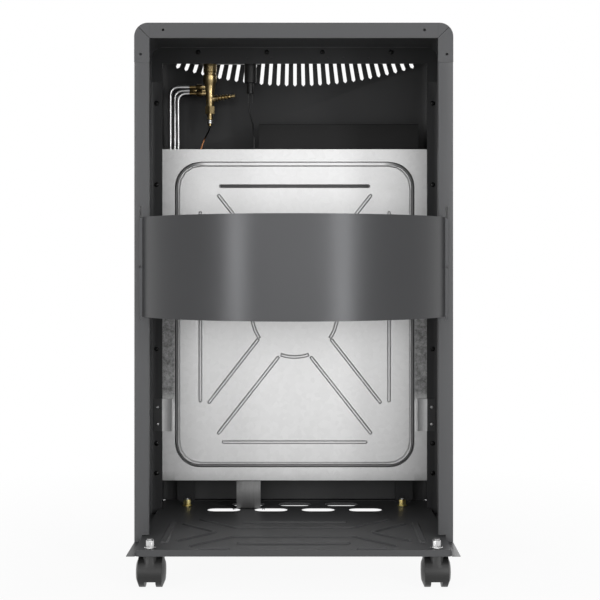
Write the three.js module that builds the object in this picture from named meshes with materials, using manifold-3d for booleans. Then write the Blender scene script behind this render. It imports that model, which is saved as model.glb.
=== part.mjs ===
// Portable gas cabinet heater, shown with its rear cover off and no bottle in it.
// Sizes are in millimetres and +Z is up. The cabinet frame has y = 0 in the plane of the
// rear rim, y grows towards the front, and z = 0 is the ground that the casters stand on.
import * as THREE from 'three';
import Module from 'manifold-3d';
import { mergeVertices } from 'three/addons/utils/BufferGeometryUtils.js';

const wasm = await Module();
wasm.setup();

// ---------------------------------------------------------------- driving dimensions

// fits
const restGap = 0.3;            // left between pieces that rest on one another
const turnGap = 0.4;            // round what turns or slides

// cabinet of folded sheet steel
const cabinetWidth = 420;
const cabinetTop = 728;         // height of the top face
const cabinetDepth = 184;       // rear rim to the front edges of the cabinet sheets
const sheet = 0.8;
const bendRadius = 1.4;         // middle radius of a folded edge
const topCornerRadius = 18;     // of the upper edges, seen from behind
const rimWidth = 20;
const rimReturn = 6;            // depth of the lip folded in from the rim
const capHeight = 52;           // height of the top cap, down to its seam
const sideStripWidth = 16.5;    // front flange of a side panel
const topStripHeight = 25;      // front flange of the top cap
const miterWidth = 0.5;         // cut between the rim's sides and its top

// base pan
const floorHeight = 51.5;       // upper face of the raised floor
const floorDrop = 7.5;          // from the floor down to the side lips
const sideLipWidth = 10.5;
const panOverhang = 76;         // how far the pan reaches out behind the rim
const panCornerRadius = 5;
const embossHeight = 2;

// front casing
const casingDepth = 74;         // of the front casing, before the cabinet's sheets
const casingSheet = 1;
const casingEdgeRadius = 18;    // rounded outer edges of the casing
const pillarWidth = 36;
const casingReturn = 10;          // folded in round the burner opening
const consoleHeight = 156;      // from the cabinet's top down
const lowerPanelTop = 246;

// fan of slots in the console
const fanSlotCount = 29;
const fanSlotPitch = 12.74;
const fanSlotWidth = 5.2;
const fanSlotDrop = 9;          // from the top face to the slots' upper ends
const fanSlotLength = 39;       // of the middle slot
const fanRise = 27;             // how much higher the outermost slots end
const fanRadius = 640;          // how far above the slots their lines meet

// heat shield
const shieldMargin = 15;        // from a side of the cabinet to the shield
const shieldLift = 41.9;        // from the pan's floor to the shield's lower edge
const shieldLap = 6;            // of the shield over the console's lower edge
const shieldSheet = 0.8;
const shieldBead = 2.4;         // how far the pressed beads stand out
const shieldBeadWidth = 5.5;
const shieldFrameMargin = 20;   // from a side of the shield to its rounded outer bead
const shieldFrameBead = 7.5;    // width of that bead
const shieldFrameFoot = 19.6;   // from the shield's lower edge to that bead
const shieldFrameHead = 18;     // and from its upper edge
const shieldFrameRadius = 38;
const shieldFold = 7;           // depth of the folded border

// retaining strap
const strapBottom = 341;
const strapHeight = 131;
const strapReach = 137;         // how far the strap bulges out behind the rim
const strapMargin = 6.5;        // from a side of the cabinet to the strap's end
const strapSheet = 1.2;
const strapEndWidth = 5;        // flat ends that lie on the rim
const hookInset = 2.2;          // from the strap's end to the middle of a hook
const hookSlotWidth = 3.2;
const hookSlotHeight = 34;
const hookSlotRise = 14;        // of the upper slots above the strap
const hookSlotDip = 5;          // of the lower slots below the strap
const hookHeight = 10;
const hookDrop = 8;
const hookDepth = 4.5;

// burner
const recessMargin = 2;         // from a pillar's edge to the burner opening
const recessBorder = 6;         // of the casing round the opening, above and below it
const recessSheet = 0.8;
const recessDepth = 42;
const recessFlare = 14;         // how far the walls lean out towards the front
const recessFlange = 8;
const burnerCount = 3;
const burnerEnds = 10;          // from the opening's sides to the outer burners' cells
const burnerGap = 10;           // between two burners
const burnerLift = 48;          // from the recess's floor to the burners
const burnerHeadroom = 46;      // from the burners to the recess's roof
const burnerDepth = 28;
const plaqueInset = 5;
const plaqueThickness = 13;
const plaqueProud = 3;
const mixerRadius = 13;

// guard over the burner
const guardWire = 1.6;          // wire radius
const guardBars = 11;
const guardEnds = 22;           // from the opening's sides to the outer bars
const guardRails = 4;
const guardProud = 11;          // how far the guard stands in front of the casing

// gas valve and piezo igniter
const controlSetback = 43;      // behind the casing's inner face
const valveInset = 84;          // from the cabinet's side
const controlSpacing = 60;      // from the valve to the igniter
const valveSetback = 6;         // from the cabinet's top down to the valve's upper end
const valveLength = 107;
const nozzleDrop = 67;          // from the valve's upper end down to the hose nozzle
const nozzleSlope = 0.14;       // rise over its length
const nozzleShank = 3;          // radius of the end inside the valve
const nozzleRibs = 5;
const nozzleRibLength = 4.6;
const nozzleRibRadius = 5.2;    // of the rib nearest to the valve
const nozzleTaper = 0.3;        // by which each further rib is smaller
const bracketDrop = 19.5;       // from the top face down to the controls' bracket
const bracketSheet = 1.2;
const spindleRadius = 4;
const knobRadius = 21;
const knobHeight = 19;
const knobPush = 4;
const knobRibs = 16;
const collarRadius = 12;
const collarHeight = 5;
const buttonRadius = 7;
const buttonHeight = 13;
const buttonTravel = 6;

// aluminium gas tubes
const tubeRadius = 2.2;
const tubeBend = 11;

// casters
const wheelRadius = 20;
const wheelWidth = 12;
const wheelGap = 14;            // between the two wheels of a caster
const casterTrail = 12;
const casterStemRadius = 4;
const casterBossRadius = 8.6;
const hoodWall = 1.3;
const axleRadius = 3;
const stemRise = 12;            // of a caster's stem above the floor
const nutHeight = 9.6;
const nutRadius = 5.6;          // over its corners
const nutWasher = [7.6, 1.2];   // radius and thickness
const rearCasterInset = 29;     // from the cabinet's side
const rearCasterReach = 11;     // from the pan's rear edge
const frontCasterInset = 50.5;  // from the cabinet's side
const frontCasterReach = 49;    // from the casing's outer face
const wheelSides = 20;

// ---------------------------------------------------------------- derived places

const lipHeight = floorHeight - floorDrop;
const halfWidth = cabinetWidth / 2;
const floorHalfWidth = halfWidth - sideLipWidth;
const seamHeight = cabinetTop - capHeight;
const frontFace = cabinetDepth + casingDepth;
const frontInner = frontFace - casingSheet;
const consoleBottom = cabinetTop - consoleHeight;
const bracketLevel = cabinetTop - bracketDrop;
const fanSlotTop = cabinetTop - fanSlotDrop;
const fanLowestEnd = fanSlotTop - fanSlotLength;
const shieldBottom = floorHeight + shieldLift;
const shieldTop = consoleBottom + shieldLap;
const shieldFrameBottom = shieldBottom + shieldFrameFoot;
const shieldFrameTop = shieldTop - shieldFrameHead;
const recessTop = consoleBottom - recessBorder;
const recessBottom = lowerPanelTop + recessBorder;
const burnerBottom = recessBottom + burnerLift;
const burnerHeight = recessTop - burnerHeadroom - burnerBottom;
const shieldWidth = cabinetWidth - 2 * shieldMargin;
const shieldFrameWidth = shieldWidth - 2 * shieldFrameMargin;
const strapHalfSpan = halfWidth - strapMargin;
const hookSlotX = strapHalfSpan - hookInset;
const recessWidth = cabinetWidth - 2 * (pillarWidth + recessMargin);
const burnerPitch = (recessWidth - 2 * burnerEnds) / burnerCount;
const burnerWidth = burnerPitch - burnerGap;
const guardBarPitch = (recessWidth - 2 * guardEnds) / (guardBars - 1);
const controlDepth = frontInner - controlSetback;
const valveX = valveInset - halfWidth;
const igniterX = valveX + controlSpacing;
const rearCasterX = halfWidth - rearCasterInset;
const rearCasterY = rearCasterReach - panOverhang;
const frontCasterX = halfWidth - frontCasterInset;
const frontCasterY = frontFace - frontCasterReach;
const stripFace = cabinetDepth - sheet;
const shieldPlane = cabinetDepth + casingSheet + 2 * restGap;
const guardFront = frontFace + guardProud;
const rimPlaneY = (strapReach - guardFront) / 2;

// ---------------------------------------------------------------- colours and finishes

function finish(colour, roughness, metalness) {
  return { color: colour, roughness, metalness };
}

const finishes = {
  rimGrey: finish(0x5c5d5f, 0.45, 0.3),
  innerGrey: finish(0x343436, 0.6, 0.2),
  strapGrey: finish(0x5a5b5c, 0.35, 0.5),
  galvanised: finish(0xd4d5d6, 0.35, 0.8),
  brightSheet: finish(0xb9bbbd, 0.3, 0.9),
  darkSheet: finish(0x1e1e1f, 0.7, 0.2),
  brass: finish(0xb08d45, 0.3, 0.9),
  aluminium: finish(0xc4c6c8, 0.35, 0.9),
  chrome: finish(0xe2e3e5, 0.15, 1.0),
  ceramic: finish(0xe8dfcf, 0.9, 0.0),
  blackPlastic: finish(0x202021, 0.55, 0.0),
  casterPlastic: finish(0x303032, 0.5, 0.0),
};

const heater = new THREE.Group();
const cabinetFrame = new THREE.Group();
cabinetFrame.position.y = rimPlaneY;
heater.add(cabinetFrame);

// ---------------------------------------------------------------- solids

// Six times the signed volume inside an indexed mesh: negative where its faces point in.
function signedVolume(positions, indices) {
  const corner = (n) => new THREE.Vector3().fromArray(positions, indices[n] * 3);
  let sum = 0;
  for (let n = 0; n < indices.length; n += 3) {
    sum += corner(n).dot(corner(n + 1).cross(corner(n + 2)));
  }
  return sum;
}

// A closed three.js geometry as a solid that can be joined and cut.
function solid(geometry) {
  const bare = geometry.clone();
  bare.deleteAttribute('normal');
  bare.deleteAttribute('uv');
  const merged = mergeVertices(bare, 1e-4);
  const vertProperties = Float32Array.from(merged.attributes.position.array);
  const triVerts = Uint32Array.from(merged.index.array);
  if (signedVolume(vertProperties, triVerts) < 0) {
    triVerts.reverse();
  }
  return new wasm.Manifold(new wasm.Mesh({ numProp: 3, vertProperties, triVerts }));
}

// The solid's triangles as a three.js geometry with flat faces.
function facets(shape) {
  const mesh = shape.getMesh();
  const geometry = new THREE.BufferGeometry();
  geometry.setAttribute('position', new THREE.BufferAttribute(mesh.vertProperties, 3));
  geometry.setIndex(new THREE.BufferAttribute(mesh.triVerts, 1));
  const flat = geometry.toNonIndexed();
  flat.computeVertexNormals();
  return flat;
}

function addPart(name, shape, look, parent = cabinetFrame) {
  const mesh = new THREE.Mesh(facets(shape), new THREE.MeshStandardMaterial(look));
  mesh.name = name;
  parent.add(mesh);
  return mesh;
}

const joined = (shapes) => shapes.reduce((whole, next) => whole.add(next));
const without = (shape, cuts) => cuts.reduce((rest, cut) => rest.subtract(cut), shape);

// The same outline on the other side of the middle plane.
function mirrored(shape) {
  return solid(facets(shape).applyMatrix4(new THREE.Matrix4().makeScale(-1, 1, 1)));
}

function box(x, y, z) {
  const geometry = new THREE.BoxGeometry(x[1] - x[0], y[1] - y[0], z[1] - z[0]);
  return solid(geometry.translate((x[0] + x[1]) / 2, (y[0] + y[1]) / 2, (z[0] + z[1]) / 2));
}

// Turns a geometry made along +Y so that it runs from one point to another.
function alongLine(geometry, from, to) {
  const start = new THREE.Vector3(...from);
  const line = new THREE.Vector3(...to).sub(start);
  const turn = new THREE.Quaternion().setFromUnitVectors(
    new THREE.Vector3(0, 1, 0), line.clone().normalize());
  return geometry.applyQuaternion(turn).translate(start.x, start.y, start.z);
}

function lineLength(from, to) {
  return new THREE.Vector3(...to).distanceTo(new THREE.Vector3(...from));
}

function rod(radius, from, to, sides = 12) {
  const length = lineLength(from, to);
  const geometry = new THREE.CylinderGeometry(radius, radius, length, sides);
  return solid(alongLine(geometry.translate(0, length / 2, 0), from, to));
}

// A turned piece: the profile is a list of [radius, distance along the axis].
function turned(profile, from, towards, sides = 16, phase = 0) {
  const points = profile.map(([radius, along]) => new THREE.Vector2(radius, along));
  const geometry = new THREE.LatheGeometry(points, sides, phase, Math.PI * 2);
  const to = from.map((value, axis) => value + towards[axis]);
  return solid(alongLine(geometry, from, to));
}

// Flat outlines given a thickness. slabXY lies level, slabXZ faces the rear and slabYZ a side.
function extruded(shape, depth, basis, curveSegments) {
  const geometry = new THREE.ExtrudeGeometry(shape, { depth, bevelEnabled: false, curveSegments });
  return geometry.applyMatrix4(new THREE.Matrix4().makeBasis(...basis));
}

const axisX = new THREE.Vector3(1, 0, 0);
const axisY = new THREE.Vector3(0, 1, 0);
const axisZ = new THREE.Vector3(0, 0, 1);

function slabXY(shape, z, curveSegments = 3) {
  const geometry = extruded(shape, z[1] - z[0], [axisX, axisY, axisZ], curveSegments);
  return solid(geometry.translate(0, 0, z[0]));
}

function slabXZ(shape, y, curveSegments = 3) {
  const geometry = extruded(shape, y[1] - y[0], [axisX, axisZ, axisY], curveSegments);
  return solid(geometry.translate(0, y[0], 0));
}

function slabYZ(shape, x, curveSegments = 3) {
  const geometry = extruded(shape, x[1] - x[0], [axisY, axisZ, axisX], curveSegments);
  return solid(geometry.translate(x[0], 0, 0));
}

function polygon(points) {
  return new THREE.Shape(points.map(([a, b]) => new THREE.Vector2(a, b)));
}

// A rectangle with its four corners rounded by one radius.
function roundedRectangle(a, b, radius) {
  const shape = new THREE.Shape();
  shape.absarc(a[1] - radius, b[0] + radius, radius, -Math.PI / 2, 0);
  shape.absarc(a[1] - radius, b[1] - radius, radius, 0, Math.PI / 2);
  shape.absarc(a[0] + radius, b[1] - radius, radius, Math.PI / 2, Math.PI);
  shape.absarc(a[0] + radius, b[0] + radius, radius, Math.PI, Math.PI * 1.5);
  shape.closePath();
  return shape;
}

// A slot with round ends, between the centres of its two ends.
function slotShape(from, to, radius) {
  const turn = Math.atan2(to[1] - from[1], to[0] - from[0]);
  const shape = new THREE.Shape();
  shape.absarc(to[0], to[1], radius, turn - Math.PI / 2, turn + Math.PI / 2);
  shape.absarc(from[0], from[1], radius, turn + Math.PI / 2, turn + Math.PI * 1.5);
  shape.closePath();
  return shape;
}

const slightTurn = 0.3;         // radians: below it a sheet just follows its corners

// The outline of a folded sheet: the corners run along its middle, and a third number in
// a corner is that bend's own radius.
function foldedSheet(corners, thickness, radius = bendRadius, steps = 2) {
  const points = corners.map(([a, b]) => new THREE.Vector2(a, b));
  const knots = [];
  points.forEach((point, n) => {
    const last = points.length - 1;
    const into = n > 0 ? point.clone().sub(points[n - 1]).normalize() : null;
    const out = n < last ? points[n + 1].clone().sub(point).normalize() : null;
    if (!into || !out) {
      knots.push([point, into ?? out]);
      return;
    }
    const bend = corners[n][2] ?? radius;
    const turn = Math.atan2(into.cross(out), into.dot(out));
    if (Math.abs(turn) < slightTurn) {
      knots.push([point, into.clone().add(out).normalize()]);
      return;
    }
    const side = new THREE.Vector2(-into.y, into.x).multiplyScalar(Math.sign(turn) * bend);
    const start = point.clone().addScaledVector(into, -bend * Math.tan(Math.abs(turn) / 2));
    const centre = start.clone().add(side);
    for (let step = 0; step <= steps; step += 1) {
      const angle = (turn * step) / steps;
      const origin = new THREE.Vector2(0, 0);
      const spot = start.clone().sub(centre).rotateAround(origin, angle).add(centre);
      knots.push([spot, into.clone().rotateAround(origin, angle)]);
    }
  });
  const offset = ([point, way], distance) => (
    new THREE.Vector2(point.x - way.y * distance, point.y + way.x * distance));
  const left = knots.map((knot) => offset(knot, thickness / 2));
  const right = knots.map((knot) => offset(knot, -thickness / 2)).reverse();
  return new THREE.Shape([...left, ...right]);
}

// A bent wire or tube: straight runs with one bend radius between them.
class BentLine extends THREE.Curve {
  constructor(corners, radius, stepsPerBend = 3) {
    super();
    this.knots = [];
    this.ways = [];
    const points = corners.map((corner) => new THREE.Vector3(...corner));
    points.forEach((point, n) => {
      const last = points.length - 1;
      const into = n > 0 ? point.clone().sub(points[n - 1]).normalize() : null;
      const out = n < last ? points[n + 1].clone().sub(point).normalize() : null;
      if (!into || !out || into.angleTo(out) < 0.01) {
        this.addKnot(point, into ?? out);
        return;
      }
      const turn = into.angleTo(out);
      const hinge = new THREE.Vector3().crossVectors(into, out).normalize();
      const start = point.clone().addScaledVector(into, -radius * Math.tan(turn / 2));
      const centre = start.clone().addScaledVector(
        new THREE.Vector3().crossVectors(hinge, into), radius);
      for (let step = 0; step <= stepsPerBend; step += 1) {
        const angle = (turn * step) / stepsPerBend;
        const arm = start.clone().sub(centre).applyAxisAngle(hinge, angle);
        this.addKnot(arm.add(centre), into.clone().applyAxisAngle(hinge, angle));
      }
    });
  }

  addKnot(point, way) {
    this.knots.push(point);
    this.ways.push(way);
  }

  get steps() {
    return this.knots.length - 1;
  }

  getPoint(t, target = new THREE.Vector3()) {
    return target.copy(this.knots[Math.round(t * this.steps)]);
  }

  getTangent(t, target = new THREE.Vector3()) {
    return target.copy(this.ways[Math.round(t * this.steps)]);
  }

  getPointAt(u, target) {
    return this.getPoint(u, target);
  }

  getTangentAt(u, target) {
    return this.getTangent(u, target);
  }
}

function bentTube(corners, radius, bend, sides = 8, stepsPerBend = 3) {
  const section = new THREE.Shape();
  section.absarc(0, 0, radius, 0, Math.PI * 2);
  const path = new BentLine(corners, bend, stepsPerBend);
  return solid(new THREE.ExtrudeGeometry(section, {
    steps: path.steps, extrudePath: path, curveSegments: sides / 2,
  }));
}

// A pressed bead: the outline stands out of a sheet with sloped edges.
function beadShape(outline, height, slope) {
  const band = 0.2;
  const form = new THREE.ExtrudeGeometry(outline, {
    depth: band, bevelEnabled: true, bevelSegments: 1, curveSegments: 2,
    bevelThickness: height - band / 2, bevelSize: slope, bevelOffset: -slope,
  });
  return form.translate(0, 0, -band / 2);
}

// Presses beads into a sheet. place turns the outline's plane into the sheet's own and
// through moves the same form by the sheet's thickness, to hollow the bead from behind.
function pressed(plate, outlines, height, place, through) {
  const forms = outlines.map((outline) => beadShape(outline, height, height * 0.8));
  const raised = forms.map((form) => solid(form.clone().applyMatrix4(place)));
  const hollow = forms.map((form) => solid(
    form.clone().applyMatrix4(place).translate(...through)));
  return without(joined([plate, ...raised]), hollow);
}

// ---------------------------------------------------------------- base pan

const floorVents = [
  ...[-103.2, -34.4, 34.4, 103.2].map((x) => [x, 181]),
  ...[-69, 0, 69].map((x) => [x, 221]),
];
const ventLength = 49;
const ventDepth = 24;
const floorHoles = [-122.5, -83, 83, 122.5].map((x) => [x, 156]);
const floorHoleRadius = 2;
const coverRests = [-100, 100]; // pressed ridges at the rear edge, which the cover stands on
const coverRestHalfLength = 18;
const coverRestHalfWidth = 2.2;
const coverRestInset = 5.5;

const embossCentre = 26;        // the pressed pattern is the same to both sides of this line
const embossBend = 8;
const embossBars = { x: 167, from: -34, to: 85, halfWidth: 5 };
const embossArrow = { apex: 103, foot: 152, reach: 52, halfWidth: 3.4 };
const embossTrapezoid = { wide: 132, narrow: 79, far: 82, near: 27, halfWidth: 2.6 };
const embossBead = { halfLength: 68, line: 65, halfWidth: 5.5 };

function floorBeads() {
  const { x, from, to, halfWidth } = embossBars;
  const beads = [-1, 1].map((side) => slotShape([side * x, from], [side * x, to], halfWidth));
  const arrow = embossArrow;
  for (const side of [-1, 1]) {
    beads.push(foldedSheet([
      [side * arrow.foot, embossCentre - arrow.reach],
      [side * arrow.apex, embossCentre],
      [side * arrow.foot, embossCentre + arrow.reach],
    ], 2 * arrow.halfWidth, embossBend));
  }
  const trapezoid = embossTrapezoid;
  for (const end of [-1, 1]) {
    const near = embossCentre + end * trapezoid.near;
    const far = embossCentre + end * trapezoid.far;
    beads.push(foldedSheet([
      [-trapezoid.wide, far], [-trapezoid.narrow, near],
      [trapezoid.narrow, near], [trapezoid.wide, far],
    ], 2 * trapezoid.halfWidth, embossBend));
    const line = embossCentre + end * embossBead.line;
    const half = embossBead.halfLength;
    beads.push(slotShape([-half, line], [half, line], embossBead.halfWidth));
  }
  const rest = coverRestInset - panOverhang;
  for (const x of coverRests) {
    beads.push(slotShape([x - coverRestHalfLength, rest], [x + coverRestHalfLength, rest],
      coverRestHalfWidth));
  }
  return beads;
}

function basePan() {
  const floorX = [-floorHalfWidth, floorHalfWidth];
  const floorY = [-panOverhang, frontInner - restGap];
  const outline = roundedRectangle(floorX, floorY, panCornerRadius);
  const innerX = [floorX[0] + sheet, floorX[1] - sheet];
  const innerY = [floorY[0] + sheet, floorY[1] - sheet];
  const hollow = roundedRectangle(innerX, innerY, panCornerRadius - sheet);
  const underLip = lipHeight - sheet;
  const tray = slabXY(outline, [underLip, floorHeight])
    .subtract(slabXY(hollow, [underLip - sheet, floorHeight - sheet]));
  const plan = slabXY(frontPlan(0, floorY[0]), [underLip, lipHeight]);
  const lips = [-1, 1].map((side) => {
    const inner = side * (floorHalfWidth - sheet / 2);
    const edges = [inner, side * halfWidth].sort((a, b) => a - b);
    return box(edges, [floorY[0], frontFace], [underLip, lipHeight]).intersect(plan);
  });
  const place = new THREE.Matrix4().makeTranslation(0, 0, floorHeight);
  const vents = floorVents.map(([x, y]) => {
    const reach = (ventLength - ventDepth) / 2;
    const vent = slotShape([x - reach, y], [x + reach, y], ventDepth / 2);
    return slabXY(vent, [floorHeight - 2 * sheet, floorHeight + sheet]);
  });
  const holes = floorHoles.map(([x, y]) => (
    rod(floorHoleRadius, [x, y, floorHeight - 2 * sheet], [x, y, floorHeight + sheet], 8)));
  const stems = casterStations().map(({ x, y }) => (
    rod(casterStemRadius + turnGap, [x, y, floorHeight - 2 * sheet], [x, y, floorHeight + sheet])));
  const joint = joined([tray, ...lips]);
  const embossed = pressed(joint, floorBeads(), embossHeight, place, [0, 0, -sheet]);
  return without(embossed, [...vents, ...holes, ...stems]);
}

// Outline of the cabinet seen from above, with the rounded edges of its front.
function frontPlan(inset, back) {
  const half = halfWidth - inset;
  const front = frontFace - inset;
  const edge = casingEdgeRadius - inset;
  const plan = new THREE.Shape();
  plan.moveTo(-half, back);
  plan.lineTo(-half, front - edge);
  plan.absarc(-half + edge, front - edge, edge, Math.PI, Math.PI / 2, true);
  plan.absarc(half - edge, front - edge, edge, Math.PI / 2, 0, true);
  plan.lineTo(half, back);
  plan.closePath();
  return plan;
}

function casterStations() {
  return [
    { name: 'rear_left', x: -rearCasterX, y: rearCasterY, nut: 'chrome' },
    { name: 'rear_right', x: rearCasterX, y: rearCasterY, nut: 'chrome' },
    { name: 'front_left', x: -frontCasterX, y: frontCasterY, nut: 'brass' },
    { name: 'front_right', x: frontCasterX, y: frontCasterY, nut: 'brass' },
  ];
}

// ---------------------------------------------------------------- side panels and top cap

const rimHoleRadius = 1.9;
const capHoleSide = [halfWidth - 8.4, seamHeight + 10.5];
const capHoleTop = [halfWidth - 38, cabinetTop - 9.5];
const strapSlotUpper = strapBottom + strapHeight + hookSlotRise;   // top of the upper slot
const strapSlotLower = strapBottom + hookSlotHeight - hookSlotDip;
const stripHoleX = halfWidth - sideStripWidth / 2;
const stripHoles = [645, 526, 286, 148, 104.4];
const stripHoleRadius = 1.6;
const topStripScrews = [40.5, 141];
const topStripScrewLevel = cabinetTop - 8.3;
const topStripHoles = [-106, -69, -34, 23, 48.5, 71, 108, 143];
const topStripHoleLevel = cabinetTop - 17;
const topStripHoleRadius = 1.8;

function hookSlot(top) {
  const x = [hookSlotX - hookSlotWidth / 2, hookSlotX + hookSlotWidth / 2];
  return box(x, [-sheet, 2 * sheet], [top - hookSlotHeight, top]);
}

function sidePanel() {
  const rimInner = halfWidth - rimWidth;
  const wall = halfWidth - sheet / 2;
  const profile = foldedSheet([
    [rimInner + sheet / 2, rimReturn],
    [rimInner + sheet / 2, sheet / 2],
    [wall, sheet / 2],
    [wall, cabinetDepth - sheet / 2],
    [halfWidth - sideStripWidth, cabinetDepth - sheet / 2],
  ], sheet);
  const body = slabXY(profile, [lipHeight + restGap, seamHeight - restGap / 2]);
  const floorEdge = floorHalfWidth + turnGap;
  const aboveFloor = floorHeight + embossHeight + turnGap;
  const notch = box([rimInner - sheet, floorEdge], [-sheet, cabinetDepth + sheet],
    [lipHeight - sheet, aboveFloor]);
  const holes = stripHoles.map((z) => (
    rod(stripHoleRadius, [stripHoleX, stripFace - sheet, z], [stripHoleX, cabinetDepth + sheet, z], 6)));
  return without(body, [notch, hookSlot(strapSlotUpper), hookSlot(strapSlotLower), ...holes]);
}

// Half of the cabinet's section seen from behind, with the rounded upper corner.
function upperSection(width, top, bottom, radius) {
  const shape = new THREE.Shape();
  shape.moveTo(-width / 2, bottom);
  shape.lineTo(width / 2, bottom);
  shape.absarc(width / 2 - radius, top - radius, radius, 0, Math.PI / 2);
  shape.absarc(-width / 2 + radius, top - radius, radius, Math.PI / 2, Math.PI);
  shape.closePath();
  return shape;
}

function topCap() {
  const bottom = seamHeight + restGap / 2;
  const outer = upperSection(cabinetWidth, cabinetTop, bottom, topCornerRadius);
  const inner = upperSection(
    cabinetWidth - 2 * sheet, cabinetTop - sheet, bottom - sheet, topCornerRadius - sheet);
  const shell = slabXZ(outer, [0, cabinetDepth], 4)
    .subtract(slabXZ(inner, [sheet, cabinetDepth - sheet], 4));
  const rimInner = halfWidth - rimWidth;
  const rimOpening = box([-rimInner, rimInner], [-sheet, 2 * sheet],
    [bottom - sheet, cabinetTop - rimWidth]);
  const stripInner = halfWidth - sideStripWidth;
  const frontOpening = box([-stripInner, stripInner], [stripFace - sheet, cabinetDepth + sheet],
    [bottom - sheet, cabinetTop - topStripHeight]);
  const lipY = [sheet / 2, rimReturn];
  const lipTop = cabinetTop - rimWidth + sheet;
  const lips = [
    box([-rimInner, rimInner], lipY, [lipTop - sheet, lipTop]),
    box([-rimInner - sheet, -rimInner], lipY, [bottom, lipTop]),
    box([rimInner, rimInner + sheet], lipY, [bottom, lipTop]),
  ];
  const rimHoles = [-1, 1].flatMap((side) => [capHoleSide, capHoleTop].map(([x, z]) => (
    rod(rimHoleRadius, [side * x, -sheet, z], [side * x, 2 * sheet, z], 8))));
  const screwHoles = [-1, 1].flatMap((side) => topStripScrews.map((x) => (
    rod(stripHoleRadius, [side * x, stripFace - sheet, topStripScrewLevel],
      [side * x, cabinetDepth + sheet, topStripScrewLevel], 6))));
  const rowHoles = topStripHoles.map((x) => (
    rod(topStripHoleRadius, [x, stripFace - sheet, topStripHoleLevel],
      [x, cabinetDepth + sheet, topStripHoleLevel], 6)));
  const miters = [-1, 1].map((side) => {
    const corner = [side * rimInner, cabinetTop - rimWidth];
    const end = [side * (halfWidth - sheet * 6), cabinetTop - sheet * 6];
    return slabXZ(slotShape(corner, end, miterWidth / 2), [-sheet, sheet + 0.1], 1);
  });
  const open = without(shell, [rimOpening, frontOpening, ...miters]);
  return without(joined([open, ...lips]), [...rimHoles, ...screwHoles, ...rowHoles]);
}

// ---------------------------------------------------------------- retaining strap

// The curved sheet that holds the bottle, and the flat ends that lie on the rim.
function strapOutline() {
  const face = -restGap - strapSheet / 2;
  const bow = strapReach - restGap - strapSheet;
  const half = strapHalfSpan - strapEndWidth;
  const radius = (half * half + bow * bow) / (2 * bow);
  const sweepAngle = Math.asin(half / radius);
  const centre = face - bow + radius;
  const steps = 24;
  const arc = [];
  for (let step = 0; step <= steps; step += 1) {
    const angle = sweepAngle * ((2 * step) / steps - 1);
    arc.push([radius * Math.sin(angle), centre - radius * Math.cos(angle)]);
  }
  return foldedSheet(
    [[-strapHalfSpan, face], ...arc, [strapHalfSpan, face]], strapSheet, bendRadius, 1);
}

function strapHook(side, slotTop) {
  const slotBottom = slotTop - hookSlotHeight;
  const throat = slotBottom + restGap;
  const half = (hookSlotWidth - 2 * turnGap) / 2;
  const outline = polygon([
    [-restGap - strapSheet / 2, throat],
    [sheet + restGap, throat],
    [sheet + restGap, throat - hookDrop],
    [hookDepth, throat - hookDrop + 2],
    [hookDepth, throat + hookHeight - 2],
    [hookDepth - 2, throat + hookHeight],
    [-restGap - strapSheet / 2, throat + hookHeight],
  ]);
  return slabYZ(outline, [side * hookSlotX - half, side * hookSlotX + half]);
}

function retainingStrap() {
  const band = slabXY(strapOutline(), [strapBottom, strapBottom + strapHeight]);
  const round = 6;
  const window = roundedRectangle([-strapHalfSpan, strapHalfSpan],
    [strapBottom, strapBottom + strapHeight], round);
  const trimmed = band.intersect(slabXZ(window, [-strapReach - strapSheet, sheet], 2));
  const hooks = [-1, 1].flatMap((side) => [strapSlotUpper, strapSlotLower].map((top) => (
    strapHook(side, top))));
  const middle = strapBottom + strapHeight / 2;
  const holes = [-1, 1].map((side) => (
    rod(2, [side * hookSlotX, -3, middle], [side * hookSlotX, 1, middle], 8)));
  return without(joined([trimmed, ...hooks]), holes);
}

// ---------------------------------------------------------------- front casing

// One front pillar: flange behind, outer wall, rounded edge, face and inner return.
function frontPillar() {
  const wall = halfWidth - casingSheet / 2;
  const back = cabinetDepth + restGap + casingSheet / 2;
  const front = frontFace - casingSheet / 2;
  const inner = halfWidth - pillarWidth;
  const flange = foldedSheet([
    [halfWidth - sideStripWidth, back], [wall, back], [wall, (back + front) / 2],
  ], casingSheet);
  const face = foldedSheet([
    [wall, (back + front) / 2 - sheet],
    [wall, front, casingEdgeRadius - casingSheet / 2],
    [inner, front],
    [inner, frontInner - casingReturn],
  ], casingSheet, bendRadius, 4);
  const column = joined([flange, face].map((profile) => (
    slabXY(profile, [lipHeight + restGap, consoleBottom - restGap]))));
  const overFloor = box([0, floorHalfWidth + turnGap], [cabinetDepth, frontInner],
    [lipHeight, floorHeight + restGap]);
  return column.subtract(overFloor);
}

function pillarClear() {
  return halfWidth - pillarWidth - casingSheet / 2 - restGap;
}

function lowerPanel() {
  const half = pillarClear();
  const front = frontFace - casingSheet / 2;
  const bottom = floorHeight + restGap;
  const profile = foldedSheet([
    [frontInner - casingReturn, bottom + casingSheet / 2],
    [front, bottom + casingSheet / 2],
    [front, lowerPanelTop - casingSheet / 2],
    [frontInner - casingReturn, lowerPanelTop - casingSheet / 2],
  ], casingSheet);
  return slabYZ(profile, [-half, half]);
}

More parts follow.
